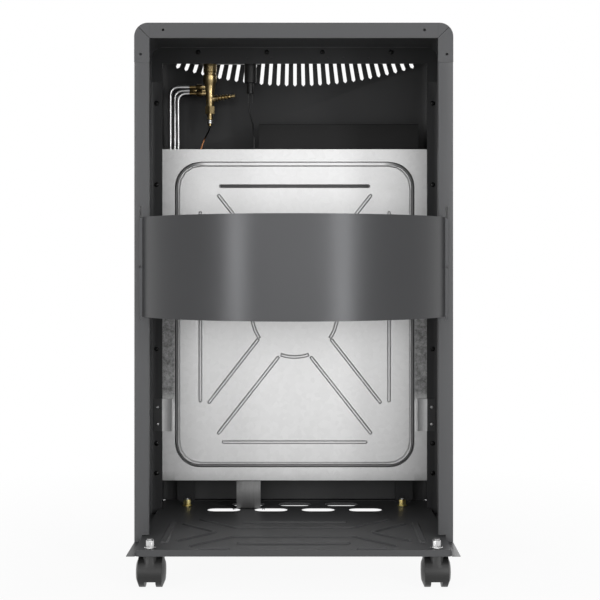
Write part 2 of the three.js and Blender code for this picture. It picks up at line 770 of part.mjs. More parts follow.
// Outer form of the console: rounded upper corners seen from behind, and a rounded front edge.
function consoleForm(inset, back) {
  const width = cabinetWidth - 2 * inset;
  const top = cabinetTop - inset;
  const radius = topCornerRadius - inset;
  const front = frontFace - inset;
  const bottom = consoleBottom - (inset > 0 ? inset : 0);
  const section = slabXZ(upperSection(width, top, bottom, radius), [back, front], 4);
  const edge = casingEdgeRadius - inset;
  const side = new THREE.Shape();
  side.moveTo(back, bottom);
  side.lineTo(front, bottom);
  side.absarc(front - edge, top - edge, edge, 0, Math.PI / 2);
  side.lineTo(back, top);
  return section
    .intersect(slabYZ(side, [-width / 2, width / 2], 2))
    .intersect(slabXY(frontPlan(inset, back), [bottom, top], 2));
}

function fanSlots() {
  const slots = [];
  for (let n = 0; n < fanSlotCount; n += 1) {
    const offset = n - (fanSlotCount - 1) / 2;
    const share = offset / ((fanSlotCount - 1) / 2);
    const x = offset * fanSlotPitch;
    const low = fanLowestEnd + fanRise * share * share;
    const lean = Math.atan2(x, fanRadius);
    const half = fanSlotWidth / 2;
    const foot = [x, low + half];
    const head = [x - Math.tan(lean) * (fanSlotTop - low), fanSlotTop - half];
    slots.push(slabXZ(slotShape(foot, head, half), [frontInner - 2, frontFace + 2], 1));
  }
  return slots;
}

function frontConsole() {
  const back = cabinetDepth + restGap;
  const shell = consoleForm(0, back).subtract(consoleForm(casingSheet, back + casingSheet));
  const flangeInner = halfWidth - sideStripWidth;
  const opening = box([-flangeInner, flangeInner], [back - 1, back + 2 * casingSheet],
    [consoleBottom - 1, cabinetTop - topStripHeight]);
  const half = pillarClear();
  const lip = box([-half, half], [frontInner - casingReturn, frontInner + casingSheet / 2],
    [consoleBottom, consoleBottom + casingSheet]);
  const deck = [cabinetTop - 3 * casingSheet, cabinetTop + casingSheet];
  const spindleHole = rod(spindleRadius + turnGap + 1,
    [valveX, controlDepth, deck[0]], [valveX, controlDepth, deck[1]]);
  const buttonHole = rod(buttonRadius + turnGap,
    [igniterX, controlDepth, deck[0]], [igniterX, controlDepth, deck[1]], 16);
  const screwHoles = [-1, 1].flatMap((side) => topStripScrews.map((x) => (
    rod(stripHoleRadius, [side * x, back - 1, topStripScrewLevel],
      [side * x, back + 2 * casingSheet, topStripScrewLevel], 6))));
  const cuts = [opening, spindleHole, buttonHole, ...screwHoles, ...fanSlots()];
  return without(shell, cuts).add(lip);
}

// ---------------------------------------------------------------- heat shield

// Four panels whose tips stop at a circle: two lie beside each other, two above each other.
const handleLevel = shieldTop - 54;
const baseLevel = shieldBottom + 56.1;
const starLevel = (handleLevel + baseLevel) / 2 - 0.25;
const shieldBeads = {
  centre: starLevel,
  tipRadius: 62.5,
  handle: { z: handleLevel, halfLength: 108 },
  base: { z: baseLevel, halfLength: 104 },
  side: { x: 138, top: handleLevel - 39, bottom: baseLevel + 60.5 },
  sideWing: { far: [125, baseLevel + 58.5], near: [54, starLevel - 37.5] },
  baseWing: { far: [111, baseLevel + 13.5], near: [24.5, starLevel - 63.5] },
};

// A bead along the circle round the shield's centre, between two angles.
function tipArc(from, to) {
  const steps = 6;
  const points = [];
  for (let step = 0; step <= steps; step += 1) {
    const angle = from + ((to - from) * step) / steps;
    points.push([
      shieldBeads.tipRadius * Math.cos(angle),
      shieldBeads.centre + shieldBeads.tipRadius * Math.sin(angle),
    ]);
  }
  return foldedSheet(points, shieldBeadWidth, shieldBeadWidth, 1);
}

function shieldOutlines() {
  const half = shieldBeadWidth / 2;
  const frame = roundedRectangle(
    [-shieldFrameWidth / 2, shieldFrameWidth / 2], [shieldFrameBottom, shieldFrameTop],
    shieldFrameRadius);
  frame.holes.push(roundedRectangle(
    [-shieldFrameWidth / 2 + shieldFrameBead, shieldFrameWidth / 2 - shieldFrameBead],
    [shieldFrameBottom + shieldFrameBead, shieldFrameTop - shieldFrameBead],
    shieldFrameRadius - shieldFrameBead));
  const { centre, handle, base, side, sideWing, baseWing } = shieldBeads;
  const outlines = [
    frame,
    slotShape([-handle.halfLength, handle.z], [handle.halfLength, handle.z], half),
    slotShape([-base.halfLength, base.z], [base.halfLength, base.z], half),
    tipArc(-Math.PI / 2 - 0.34, -Math.PI / 2 + 0.34),
    tipArc(Math.PI / 2 - 0.34, Math.PI / 2 + 0.34),
    tipArc(-0.6, 0.6),
    tipArc(Math.PI - 0.6, Math.PI + 0.6),
  ];
  for (const hand of [-1, 1]) {
    outlines.push(slotShape([hand * side.x, side.bottom], [hand * side.x, side.top], half));
    for (const end of [-1, 1]) {
      for (const { far, near } of [sideWing, baseWing]) {
        const level = (z) => centre + end * (centre - z);
        outlines.push(slotShape([hand * far[0], level(far[1])], [hand * near[0], level(near[1])],
          half));
      }
    }
  }
  return outlines;
}

function heatShield() {
  const width = [-shieldWidth / 2, shieldWidth / 2];
  const depth = [shieldPlane, shieldPlane + shieldFold];
  const tray = box(width, depth, [shieldBottom, shieldTop]).subtract(
    box([width[0] + shieldSheet, width[1] - shieldSheet],
      [shieldPlane + shieldSheet, depth[1] + 1],
      [shieldBottom + shieldSheet, shieldTop - shieldSheet]));
  const place = new THREE.Matrix4().makeBasis(axisX, axisZ, axisY)
    .setPosition(0, shieldPlane, 0);
  return pressed(tray, shieldOutlines(), shieldBead, place, [0, shieldSheet, 0]);
}

const supportX = [valveX + 41, valveX + 76];
const supportSheet = 1.2;
const supportFoot = 16;
const clipLevels = [166, 213];
const clipReach = 15;

// Angle bracket that stands on the floor and carries the shield's lower edge.
function shieldBracket() {
  const seat = shieldBottom - restGap - supportSheet / 2;
  const back = shieldPlane + supportSheet / 2;
  const profile = foldedSheet([
    [back + supportFoot, floorHeight + restGap + supportSheet / 2],
    [back, floorHeight + restGap + supportSheet / 2],
    [back, seat],
    [back + shieldFold, seat],
  ], supportSheet, 1.6);
  return slabYZ(profile, supportX);
}

// Clip on the strip at one side: it laps over the shield's edge from behind.
function shieldClip() {
  const strip = halfWidth - sideStripWidth;
  const onStrip = stripFace - restGap;
  const profile = foldedSheet([
    [strip + 12, onStrip - supportSheet / 2],
    [strip - 2, onStrip - supportSheet / 2],
    [strip - clipReach, onStrip - supportSheet / 2],
    [strip - clipReach, onStrip - 5],
  ], supportSheet, 1.2);
  return slabXY(profile, clipLevels);
}

const baffleX = [igniterX + 13, halfWidth - 28];
const baffleTop = consoleBottom + 44;
const baffleSheet = 1;

// Dark sheet that stands behind the shield and shades the controls from the burner.
function heatBaffle() {
  const back = shieldPlane + shieldFold + restGap + baffleSheet / 2;
  const profile = foldedSheet([
    [recessBack + 14, recessTop + restGap + baffleSheet / 2],
    [back, recessTop + restGap + baffleSheet / 2],
    [back, baffleTop - baffleSheet / 2],
    [back + 12, baffleTop - baffleSheet / 2],
  ], baffleSheet);
  return slabYZ(profile, baffleX);
}

// ---------------------------------------------------------------- burner

const recessFront = frontInner - casingReturn - restGap;
const recessBack = recessFront - recessDepth;
const burnerBack = recessBack + recessSheet + restGap;
const burnerFront = burnerBack + burnerDepth;
const burnerAxisY = burnerBack + burnerDepth / 2;
const burnerTop = burnerBottom + burnerHeight;
const mixerFoot = recessBottom - 8;
const railTop = mixerFoot - 12;
const railHeight = 10;
const railHalfDepth = 8;
const railBottom = railTop - railHeight;
const burnerPlaces = Array.from({ length: burnerCount }, (_, n) => (
  (n - (burnerCount - 1) / 2) * burnerPitch));
const railHalf = burnerPitch * (burnerCount - 1) / 2 + 22;
const pilotX = -burnerPitch / 2;
const pilotRadius = 3;
const pilotHead = pilotRadius + 1.5;
const pilotY = burnerFront + plaqueProud + pilotHead + restGap;
const thermocoupleX = pilotX - 12;
const electrodeX = pilotX + 11;
const probeRadius = 2;
const electrodeRadius = 2.4;
const leadEndLevel = recessBottom - 6;

// Open tray behind the guard: level floor and roof, side walls that lean outwards.
function burnerHousing() {
  const plan = (inset, back, front) => {
    const backHalf = recessWidth / 2 - recessFlare - inset;
    const frontHalf = recessWidth / 2 - inset;
    return polygon([[-backHalf, back], [backHalf, back], [frontHalf, front], [-frontHalf, front]]);
  };
  const outer = slabXY(plan(0, recessBack, recessFront), [recessBottom, recessTop]);
  const inner = slabXY(plan(recessSheet, recessBack + recessSheet, recessFront + 1),
    [recessBottom + recessSheet, recessTop - recessSheet]);
  const half = recessWidth / 2;
  const rim = box([-half - recessFlange, half + recessFlange],
    [recessFront - recessSheet, recessFront],
    [recessBottom - recessFlange, recessTop + recessFlange]);
  const mouth = slabXZ(polygon([
    [-half + recessSheet, recessBottom + recessSheet], [half - recessSheet, recessBottom + recessSheet],
    [half - recessSheet, recessTop - recessSheet], [-half + recessSheet, recessTop - recessSheet],
  ]), [recessFront - recessDepth / 4, recessFront + 1]);
  const below = recessBottom - recessSheet;
  const above = recessBottom + 2 * recessSheet;
  const mixerHoles = burnerPlaces.map((x) => (
    rod(mixerRadius + turnGap, [x, burnerAxisY, below], [x, burnerAxisY, above], 16)));
  const pilotHoles = [
    [pilotX, pilotRadius], [thermocoupleX, probeRadius], [electrodeX, electrodeRadius],
  ].map(([x, radius]) => rod(radius + turnGap, [x, pilotY, below], [x, pilotY, above], 10));
  const tray = outer.add(rim.subtract(mouth)).subtract(inner);
  return without(tray, [...mixerHoles, ...pilotHoles]);
}

// Plenum box of one burner with its mixing tube below it.
function burnerBody(x) {
  const half = burnerWidth / 2;
  const outline = roundedRectangle([x - half, x + half], [burnerBottom, burnerTop], 6);
  const seat = roundedRectangle(
    [x - half + plaqueInset, x + half - plaqueInset],
    [burnerBottom + plaqueInset, burnerTop - plaqueInset], 3);
  const chamber = slabXZ(outline, [burnerBack, burnerFront], 1)
    .subtract(slabXZ(seat, [burnerFront - plaqueThickness + plaqueProud, burnerFront + 1], 1));
  const mixer = turned([
    [0, 0], [mixerRadius, 0], [mixerRadius, 8], [mixerRadius - 4, 20],
    [mixerRadius - 4, burnerBottom - mixerFoot + 2], [0, burnerBottom - mixerFoot + 2],
  ], [x, burnerAxisY, mixerFoot], [0, 0, 1], 16);
  const bell = rod(mixerRadius - 2, [x, burnerAxisY, mixerFoot - 1], [x, burnerAxisY, mixerFoot + 7]);
  const throat = rod(mixerRadius - 6, [x, burnerAxisY, mixerFoot], [x, burnerAxisY, burnerBottom + 4]);
  return without(chamber.add(mixer), [bell, throat]);
}

function ceramicPlaque(x) {
  const half = burnerWidth / 2 - plaqueInset - restGap;
  const outline = roundedRectangle([x - half, x + half],
    [burnerBottom + plaqueInset + restGap, burnerTop - plaqueInset - restGap], 2.7);
  const back = burnerFront - plaqueThickness + plaqueProud + restGap;
  return slabXZ(outline, [back, burnerFront + plaqueProud], 1);
}

// Bar below the burners: one injector points up into each mixing tube.
function injectorRail() {
  const depth = [burnerAxisY - railHalfDepth, burnerAxisY + railHalfDepth];
  const bar = box([-railHalf, railHalf], depth, [railBottom, railTop]);
  const ears = [-1, 1].map((side) => {
    const x = [side * railHalf, side * (railHalf - 1.5)].sort((a, b) => a - b);
    return box(x, depth, [railBottom, recessBottom - restGap]);
  });
  const injectors = burnerPlaces.map((x) => turned([
    [0, -1], [5.5, -1], [5.5, 5], [3.5, 6], [2.4, 14], [0, 14],
  ], [x, burnerAxisY, railTop], [0, 0, 1], 6));
  return joined([bar, ...ears, ...injectors]);
}

const pilotSeat = recessBottom + recessSheet + restGap;

function pilotBurner() {
  const foot = box([thermocoupleX - 6, electrodeX + 6], [pilotY - 4, pilotY + 4],
    [pilotSeat, pilotSeat + 1.5]);
  const stem = turned([
    [0, leadEndLevel - pilotSeat], [pilotRadius, leadEndLevel - pilotSeat],
    [pilotRadius, 34], [pilotHead, 36], [pilotHead, 44], [0, 44],
  ], [pilotX, pilotY, pilotSeat], [0, 0, 1], 12);
  const hood = box([pilotX - 7, pilotX + 7], [pilotY - 3, pilotY + 3],
    [pilotSeat + 39, pilotSeat + 42]);
  const bores = [[thermocoupleX, probeRadius], [electrodeX, electrodeRadius]].map(([x, radius]) => (
    rod(radius + restGap, [x, pilotY, pilotSeat - 1], [x, pilotY, pilotSeat + 3], 10)));
  return without(joined([foot, stem, hood]), bores);
}

function thermocoupleProbe() {
  const length = pilotSeat + 48 - leadEndLevel;
  return turned([
    [0, 0], [probeRadius, 0], [probeRadius, length - 4], [probeRadius - 0.8, length], [0, length],
  ], [thermocoupleX, pilotY, leadEndLevel], [0, 0, 1], 10);
}

function ignitionElectrode() {
  const top = pilotSeat + 34;
  const sleeve = turned([
    [0, 0], [electrodeRadius, 0], [electrodeRadius, top - leadEndLevel],
    [electrodeRadius - 1, top - leadEndLevel + 2], [0, top - leadEndLevel + 2],
  ], [electrodeX, pilotY, leadEndLevel], [0, 0, 1], 10);
  const spark = bentTube([
    [electrodeX, pilotY, top], [electrodeX, pilotY, top + 9], [electrodeX - 3, pilotY, top + 12],
  ], 0.7, 1.5, 6, 1);
  return sleeve.add(spark);
}

// Wire guard in front of the burner: a frame, upright bars and level rails welded together.
function guardGrille() {
  const frameRadius = guardWire + 0.4;
  const back = recessFront + restGap + frameRadius;
  const front = guardFront - guardWire;
  const half = recessWidth / 2 - frameRadius - 2;
  const low = recessBottom + frameRadius;
  const high = recessTop - frameRadius;
  const halfRing = bentTube([
    [0, back, low], [half, back, low], [half, back, high], [0, back, high],
  ], frameRadius, 10, 6, 2);
  const bars = [];
  for (let n = 0; n < guardBars; n += 1) {
    const x = (n - (guardBars - 1) / 2) * guardBarPitch;
    bars.push(bentTube([
      [x, back, low], [x, front, low + 9], [x, front, high - 9], [x, back, high],
    ], guardWire, 6, 6, 1));
  }
  const reach = (guardBars - 1) / 2 * guardBarPitch + 8;
  const rails = [];
  for (let n = 0; n < guardRails; n += 1) {
    const z = low + ((n + 1) * (high - low)) / (guardRails + 1);
    rails.push(bentTube([
      [-half, back, z], [-reach, front - guardWire, z], [reach, front - guardWire, z], [half, back, z],
    ], guardWire, 4, 6, 1));
  }
  return joined([halfRing, mirrored(halfRing), ...bars, ...rails]);
}

// ---------------------------------------------------------------- valve, knob and igniter

const valveAxis = [valveX, controlDepth];
const deckUnder = cabinetTop - casingSheet;
const valveTop = cabinetTop - valveSetback;
const spindleBore = 26;         // how deep the spindle's bore goes
const plungerBore = 14;         // and that of the igniter's button
const bracketX = [valveX - 26, igniterX + 14];
const bracketY = [controlDepth - 14, controlDepth + 14];
const valveFoot = valveTop - valveLength;
const nozzleLevel = valveTop - nozzleDrop;
const tubeRuns = [
  { drop: 36.5 - halfWidth, level: valveTop - 58.5, behind: 0, port: 12 },
  { drop: 31 - halfWidth, level: valveTop - 53.8, behind: 6.4, port: 22 },
  { drop: 25 - halfWidth, level: valveTop - 49.1, behind: 0, port: 12 },
];

// Plate under the deck: the valve and the igniter hang in it.
function valveBracket() {
  const plate = foldedSheet([
    [bracketX[0], deckUnder - restGap],
    [bracketX[0], bracketLevel + bracketSheet / 2],
    [bracketX[1], bracketLevel + bracketSheet / 2],
    [bracketX[1], deckUnder - restGap],
  ], bracketSheet, 1.6);
  const holes = [
    rod(10 + turnGap, [...valveAxis, bracketLevel - 1], [...valveAxis, bracketLevel + 3], 20),
    rod(9 + turnGap, [igniterX, controlDepth, bracketLevel - 1],
      [igniterX, controlDepth, bracketLevel + 3], 16),
  ];
  return without(slabXZ(plate, bracketY), holes);
}

function gasValve() {
  const seat = bracketLevel + bracketSheet + 3.3 - valveFoot;
  const top = valveTop - valveFoot;
  const body = turned([
    [0, 0], [2.6, 0], [2.6, 3], [4, 3], [4, 18], [5.8, 18], [5.8, 42], [6.4, 42], [6.4, 49],
    [8.4, 63], [10, 66], [10, 75], [9, 76], [9, 79], [10, 80], [10, seat], [12, seat + 0.2],
    [12, seat + 3], [9, seat + 3], [9, top], [0, top],
  ], [...valveAxis, valveFoot], [0, 0, 1], 16);
  const hex = turned([[0, 0], [7.6, 0], [7.6, 11], [0, 11]],
    [...valveAxis, valveFoot + 18], [0, 0, 1], 6);
  const ports = tubeRuns.map(({ level, behind, port }) => {
    const y = controlDepth + behind;
    return rod(3, [valveX - port, y, level], [valveX, y, level], 10);
  });
  const hoseBoss = rod(5, [valveX, controlDepth, nozzleLevel],
    [valveX + 6.8, controlDepth, nozzleLevel + 6.8 * nozzleSlope], 12);
  const bore = rod(spindleRadius + restGap, [...valveAxis, valveTop - spindleBore],
    [...valveAxis, valveTop + 8], 12);
  const nozzleBore = rod(nozzleShank + restGap,
    [valveX + 1.5, controlDepth, nozzleLevel + 1.5 * nozzleSlope],
    [valveX + 12, controlDepth, nozzleLevel + 12 * nozzleSlope], 12);
  const tubeBores = tubeRuns.map(({ level, behind, port }) => (
    rod(tubeRadius + restGap, [valveX - port - 1, controlDepth + behind, level],
      [valveX - port + 4, controlDepth + behind, level], 8)));
  return without(joined([body, hex, ...ports, hoseBoss]), [bore, nozzleBore, ...tubeBores]);
}

// Barbed nozzle for the gas hose: a ring of ribs on a taper that points to the right.
function hoseNozzle() {
  const start = 2;
  const profile = [[0, -5], [nozzleShank, -5], [nozzleShank, 0.4], [4.8, 0.4], [4.8, 1.6]];
  for (let n = 0; n < nozzleRibs; n += 1) {
    const along = start + n * nozzleRibLength;
    const girth = nozzleRibRadius - n * nozzleTaper;
    profile.push([girth - 1.8, along], [girth, along + 1.2], [girth, along + 2]);
  }
  const end = start + nozzleRibs * nozzleRibLength;
  profile.push([2.4, end], [2.6, end + 5], [1.8, end + 6], [0, end + 6]);
  const from = [valveX + 7, controlDepth, nozzleLevel + 7 * nozzleSlope];
  return turned(profile, from, [1, 0, nozzleSlope], 12);
}

const spindleFoot = valveTop - spindleBore + knobPush + 1;
const collarBottom = cabinetTop + knobPush + restGap;
const knobBottom = collarBottom + collarHeight + restGap;

function valveSpindle() {
  const top = knobBottom + knobHeight - 5;
  return turned([
    [0, 0], [spindleRadius, 0], [spindleRadius, top - spindleFoot], [0, top - spindleFoot],
  ], [...valveAxis, spindleFoot], [0, 0, 1], 12);
}

// Sliding collar under the knob: it is pushed down with it but doesn't turn.
function knobCollar() {
  const ring = rod(collarRadius, [...valveAxis, collarBottom],
    [...valveAxis, collarBottom + collarHeight], 20);
  return ring.subtract(rod(spindleRadius + turnGap, [...valveAxis, collarBottom - 1],
    [...valveAxis, collarBottom + collarHeight + 1], 12));
}

function controlKnob() {
  const body = turned([
    [0, 0], [knobRadius, 0], [knobRadius, 4], [knobRadius - 2, 5.5],
    [knobRadius - 3.5, knobHeight - 2], [knobRadius - 5.5, knobHeight], [0, knobHeight],
  ], [...valveAxis, knobBottom], [0, 0, 1], 32);
  const flutes = [];
  for (let n = 0; n < knobRibs; n += 1) {
    const angle = (n * 2 * Math.PI) / knobRibs;
    const x = valveX + Math.cos(angle) * (knobRadius - 1.6);
    const y = controlDepth + Math.sin(angle) * (knobRadius - 1.6);
    flutes.push(rod(1.3, [x, y, knobBottom + 6.5], [x, y, knobBottom + knobHeight + 1], 6));
  }
  const bore = rod(spindleRadius + restGap, [...valveAxis, knobBottom - 1],
    [...valveAxis, knobBottom + knobHeight - 4.5], 12);
  const pointer = box([valveX - 1.2, valveX + 1.2], [controlDepth + 3, controlDepth + knobRadius - 6],
    [knobBottom + knobHeight - 0.8, knobBottom + knobHeight + 1]);
  return without(body, [bore, pointer, ...flutes]);
}

const igniterFoot = valveTop - 72;

function igniterBody() {
  const seat = bracketLevel + bracketSheet + 2.3 - igniterFoot;
  const top = valveTop - igniterFoot;
  const body = turned([
    [0, 13], [5, 13], [5, 28], [9, 29], [9, seat], [12, seat + 0.2],
    [12, seat + 3], [8.6, seat + 3], [8.6, top], [0, top],
  ], [igniterX, controlDepth, igniterFoot], [0, 0, 1], 16);
  const prongs = [-3, 3].map((offset) => (
    box([igniterX + offset - 0.6, igniterX + offset + 0.6], [controlDepth - 1.6, controlDepth + 1.6],
      [igniterFoot, igniterFoot + 14])));
  const bore = rod(buttonRadius - 1 + turnGap, [igniterX, controlDepth, valveTop - plungerBore],
    [igniterX, controlDepth, valveTop + 8], 16);
  return without(joined([body, ...prongs]), [bore]);
}

function igniterButton() {
  const foot = valveTop - plungerBore + buttonTravel + 0.6;
  const top = cabinetTop + buttonHeight - 4;
  const neck = cabinetTop + 1;
  return turned([
    [0, 0], [buttonRadius - 1, 0], [buttonRadius - 1, neck - 6 - foot], [buttonRadius - 0.6, neck - foot],
    [buttonRadius - 0.6, top - foot - 1.5], [buttonRadius - 2, top - foot], [0, top - foot],
  ], [igniterX, controlDepth, foot], [0, 0, 1], 16);
}

// ---------------------------------------------------------------- tubes and leads

const leadRadius = 1.2;
const leadBend = 3;
const leadY = shieldPlane + shieldFold + 5;
const railUnder = railBottom - restGap;
const tubeLevels = [railBottom - 8, railBottom - 16, railBottom - 24];
const leadLevel = mixerFoot - 5;

// Tube from the valve down behind the shield and across to what it feeds.
function gasTube(index) {
  const { drop, level, behind, port } = tubeRuns[index];
  const floor = tubeLevels[index];
  const start = [valveX - port + 3.6, controlDepth + behind, level];
  const corner = [drop, controlDepth + behind, level];
  const runY = index === 0 ? pilotY : burnerAxisY;
  const route = [start, corner, [drop, runY, floor]];
  if (index === 0) {
    route.push([pilotX, pilotY, floor], [pilotX, pilotY, leadEndLevel - restGap]);
  } else {
    const inlet = index === 1 ? burnerPlaces[0] + 20 : burnerPlaces[1] + 54;
    route.push([inlet, burnerAxisY, floor], [inlet, burnerAxisY, railUnder]);
  }
  const tube = bentTube(route, tubeRadius, tubeBend, 8, 3);
  const nut = turned([[0, 0], [4.6, 0], [4.6, 7], [3.2, 8], [0, 8]],
    [valveX - port - restGap, controlDepth + behind, level], [-1, 0, 0], 6);
  return tube.add(nut);
}

function thermocoupleLead() {
  return bentTube([
    [valveX - 0.5, controlDepth, valveFoot - restGap],
    [valveX - 0.5, controlDepth, valveFoot - 3],
    [valveX - 2, controlDepth - 5, valveFoot - 9],
    [valveX - 7.5, leadY, valveFoot - 22],
    [valveX - 13, leadY, valveFoot - 38],
    [valveX - 13, leadY, leadLevel],
    [valveX - 13, pilotY, leadLevel],
    [thermocoupleX, pilotY, leadLevel],
    [thermocoupleX, pilotY, leadEndLevel - restGap],
  ], leadRadius, leadBend, 6, 2);
}

function igniterLead() {
  return bentTube([
    [igniterX - 3, controlDepth, igniterFoot - restGap],
    [igniterX - 1, controlDepth, igniterFoot - 16],
    [igniterX + 4, controlDepth - 4, igniterFoot - 32],
    [igniterX + 6, leadY, igniterFoot - 54],
    [igniterX + 6, leadY, leadLevel],
    [electrodeX, burnerAxisY + 6, leadLevel],
    [electrodeX, pilotY, leadLevel],
    [electrodeX, pilotY, leadEndLevel - restGap],
  ], leadRadius, leadBend, 6, 2);
}

// ---------------------------------------------------------------- casters

const hoodHalf = wheelGap / 2 - turnGap;
const hoodInner = wheelRadius + 1;
const hoodOuter = hoodInner + hoodWall;
const bossTop = floorHeight - sheet - restGap;
const stemTop = floorHeight + stemRise;
const wheelFace = wheelGap / 2 + wheelWidth;
const hoodArch = 10;

// Twin-wheel caster, built round its swivel axis: the wheels trail towards +y.
function casterHood() {
  const axle = [0, casterTrail, wheelRadius];
  const cover = turned([
    [0, -wheelFace + 0.6], [hoodOuter - 5, -wheelFace + 0.6], [hoodOuter - 1, -wheelFace + 4],
    [hoodOuter, -wheelGap / 2], [hoodOuter, wheelGap / 2], [hoodOuter - 1, wheelFace - 4],
    [hoodOuter - 5, wheelFace - 0.6], [0, wheelFace - 0.6],
  ], axle, [1, 0, 0], 20);
  const below = box([-wheelFace, wheelFace], [-60, 60], [-10, hoodArch]);
  const openFront = box([-wheelFace, wheelFace], [casterTrail + 4, 60], [-10, wheelRadius + 6]);
  const pockets = [-1, 1].map((side) => (
    rod(hoodInner, [side * hoodHalf, ...axle.slice(1)], [side * (wheelFace + 2), ...axle.slice(1)], 20)));
  const boss = turned([
    [0, 0], [casterBossRadius, 0], [casterBossRadius, bossTop - wheelRadius],
    [casterStemRadius, bossTop - wheelRadius],
    [casterStemRadius, stemTop - wheelRadius], [0, stemTop - wheelRadius],
  ], [0, 0, wheelRadius], [0, 0, 1], 12);
  const axleHole = rod(axleRadius + restGap, [-wheelFace, ...axle.slice(1)],
    [wheelFace, ...axle.slice(1)], 12);
  return without(cover.subtract(below).subtract(openFront).add(boss), [...pockets, axleHole]);
}

function casterWheel(side) {
  const inner = wheelGap / 2;
  const bore = axleRadius + turnGap;
  const face = inner + wheelWidth;
  const tread = wheelRadius / Math.cos(Math.PI / wheelSides);
  const profile = [
    [0, face], [12, face - 1], [tread, face - 4.5],
    [tread, inner], [bore, inner], [bore, face - 4], [0, face - 4],
  ];
  const phase = Math.PI / wheelSides;
  return turned(profile, [0, casterTrail, wheelRadius], [side, 0, 0], wheelSides, phase);
}

function casterAxle() {
  const reach = wheelGap / 2 + wheelWidth - 4 - restGap;
  return rod(axleRadius, [-reach, casterTrail, wheelRadius], [reach, casterTrail, wheelRadius], 12);
}

function casterNut() {
  const seat = floorHeight + restGap;
  const [washerRadius, washerHeight] = nutWasher;
  const washer = rod(washerRadius, [0, 0, seat], [0, 0, seat + washerHeight], 16);
  const nut = rod(nutRadius, [0, 0, seat + washerHeight], [0, 0, seat + nutHeight], 6);
  return washer.add(nut).subtract(
    rod(casterStemRadius + restGap, [0, 0, seat - 1], [0, 0, seat + nutHeight + 1], 12));
}

function addCaster({ name, x, y, nut }) {
  const caster = new THREE.Group();
  caster.position.set(x, y, 0);
  cabinetFrame.add(caster);
  addPart(`caster_hood_${name}`, casterHood(), finishes.casterPlastic, caster);
  addPart(`caster_axle_${name}`, casterAxle(), finishes.chrome, caster);
  addPart(`caster_wheel_${name}_a`, casterWheel(-1), finishes.casterPlastic, caster);
  addPart(`caster_wheel_${name}_b`, casterWheel(1), finishes.casterPlastic, caster);
  addPart(`caster_nut_${name}`, casterNut(), finishes[nut], caster);
}

// ---------------------------------------------------------------- the assembly

addPart('base_pan', basePan(), finishes.rimGrey);
addPart('side_panel_right', sidePanel(), finishes.rimGrey);
addPart('side_panel_left', mirrored(sidePanel()), finishes.rimGrey);
addPart('top_cap', topCap(), finishes.rimGrey);
addPart('front_pillar_right', frontPillar(), finishes.innerGrey);
addPart('front_pillar_left', mirrored(frontPillar()), finishes.innerGrey);
addPart('front_lower_panel', lowerPanel(), finishes.innerGrey);
addPart('front_console', frontConsole(), finishes.innerGrey);
addPart('retaining_strap', retainingStrap(), finishes.strapGrey);

addPart('heat_shield', heatShield(), finishes.galvanised);
addPart('shield_bracket', shieldBracket(), finishes.galvanised);
addPart('shield_clip_right', shieldClip(), finishes.brightSheet);
addPart('shield_clip_left', mirrored(shieldClip()), finishes.brightSheet);
addPart('heat_baffle', heatBaffle(), finishes.darkSheet);

addPart('burner_housing', burnerHousing(), finishes.brightSheet);
burnerPlaces.forEach((x, n) => {
  addPart(`burner_body_${n + 1}`, burnerBody(x), finishes.brightSheet);
  addPart(`ceramic_plaque_${n + 1}`, ceramicPlaque(x), finishes.ceramic);
});
addPart('injector_rail', injectorRail(), finishes.brass);
addPart('pilot_burner', pilotBurner(), finishes.brass);
addPart('thermocouple_probe', thermocoupleProbe(), finishes.brightSheet);
addPart('ignition_electrode', ignitionElectrode(), finishes.ceramic);
addPart('guard_grille', guardGrille(), finishes.chrome);

addPart('valve_bracket', valveBracket(), finishes.brightSheet);
addPart('gas_valve', gasValve(), finishes.brass);
addPart('hose_nozzle', hoseNozzle(), finishes.brass);
addPart('valve_spindle', valveSpindle(), finishes.brass);
addPart('knob_collar', knobCollar(), finishes.blackPlastic);
addPart('control_knob', controlKnob(), finishes.blackPlastic);
addPart('igniter_body', igniterBody(), finishes.blackPlastic);
addPart('igniter_button', igniterButton(), finishes.blackPlastic);
tubeRuns.forEach((_, n) => {
  addPart(`gas_tube_${n + 1}`, gasTube(n), finishes.aluminium);
});
addPart('thermocouple_lead', thermocoupleLead(), finishes.brass);
addPart('igniter_lead', igniterLead(), finishes.blackPlastic);

casterStations().forEach(addCaster);

export default heater;
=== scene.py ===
"""Gas cabinet heater: finishes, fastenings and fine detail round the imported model.

Lengths are in metres, +Z is up, and the heater's open rear faces -Y.
"""
import math

import bmesh
import bpy
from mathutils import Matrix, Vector


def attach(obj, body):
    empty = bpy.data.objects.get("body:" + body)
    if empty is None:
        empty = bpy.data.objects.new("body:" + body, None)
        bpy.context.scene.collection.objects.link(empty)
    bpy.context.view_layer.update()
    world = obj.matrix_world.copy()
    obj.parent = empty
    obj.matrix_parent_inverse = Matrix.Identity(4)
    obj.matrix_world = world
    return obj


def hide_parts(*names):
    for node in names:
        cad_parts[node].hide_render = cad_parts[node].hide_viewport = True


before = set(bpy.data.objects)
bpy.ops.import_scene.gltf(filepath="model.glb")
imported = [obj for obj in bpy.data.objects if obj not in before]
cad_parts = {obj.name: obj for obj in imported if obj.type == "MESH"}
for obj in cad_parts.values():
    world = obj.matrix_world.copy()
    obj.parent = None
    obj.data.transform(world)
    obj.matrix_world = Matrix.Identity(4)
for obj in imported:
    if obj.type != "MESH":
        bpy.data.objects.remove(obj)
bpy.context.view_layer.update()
scene = bpy.context.scene
scene.view_settings.view_transform = "Standard"

# ------------------------------------------------------------------ places and sizes


def node_box(name):
    """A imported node's lowest and highest corner."""
    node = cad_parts[name]
    corners = [node.matrix_world @ Vector(corner) for corner in node.bound_box]
    return [Vector([pick(axis) for axis in zip(*corners)]) for pick in (min, max)]


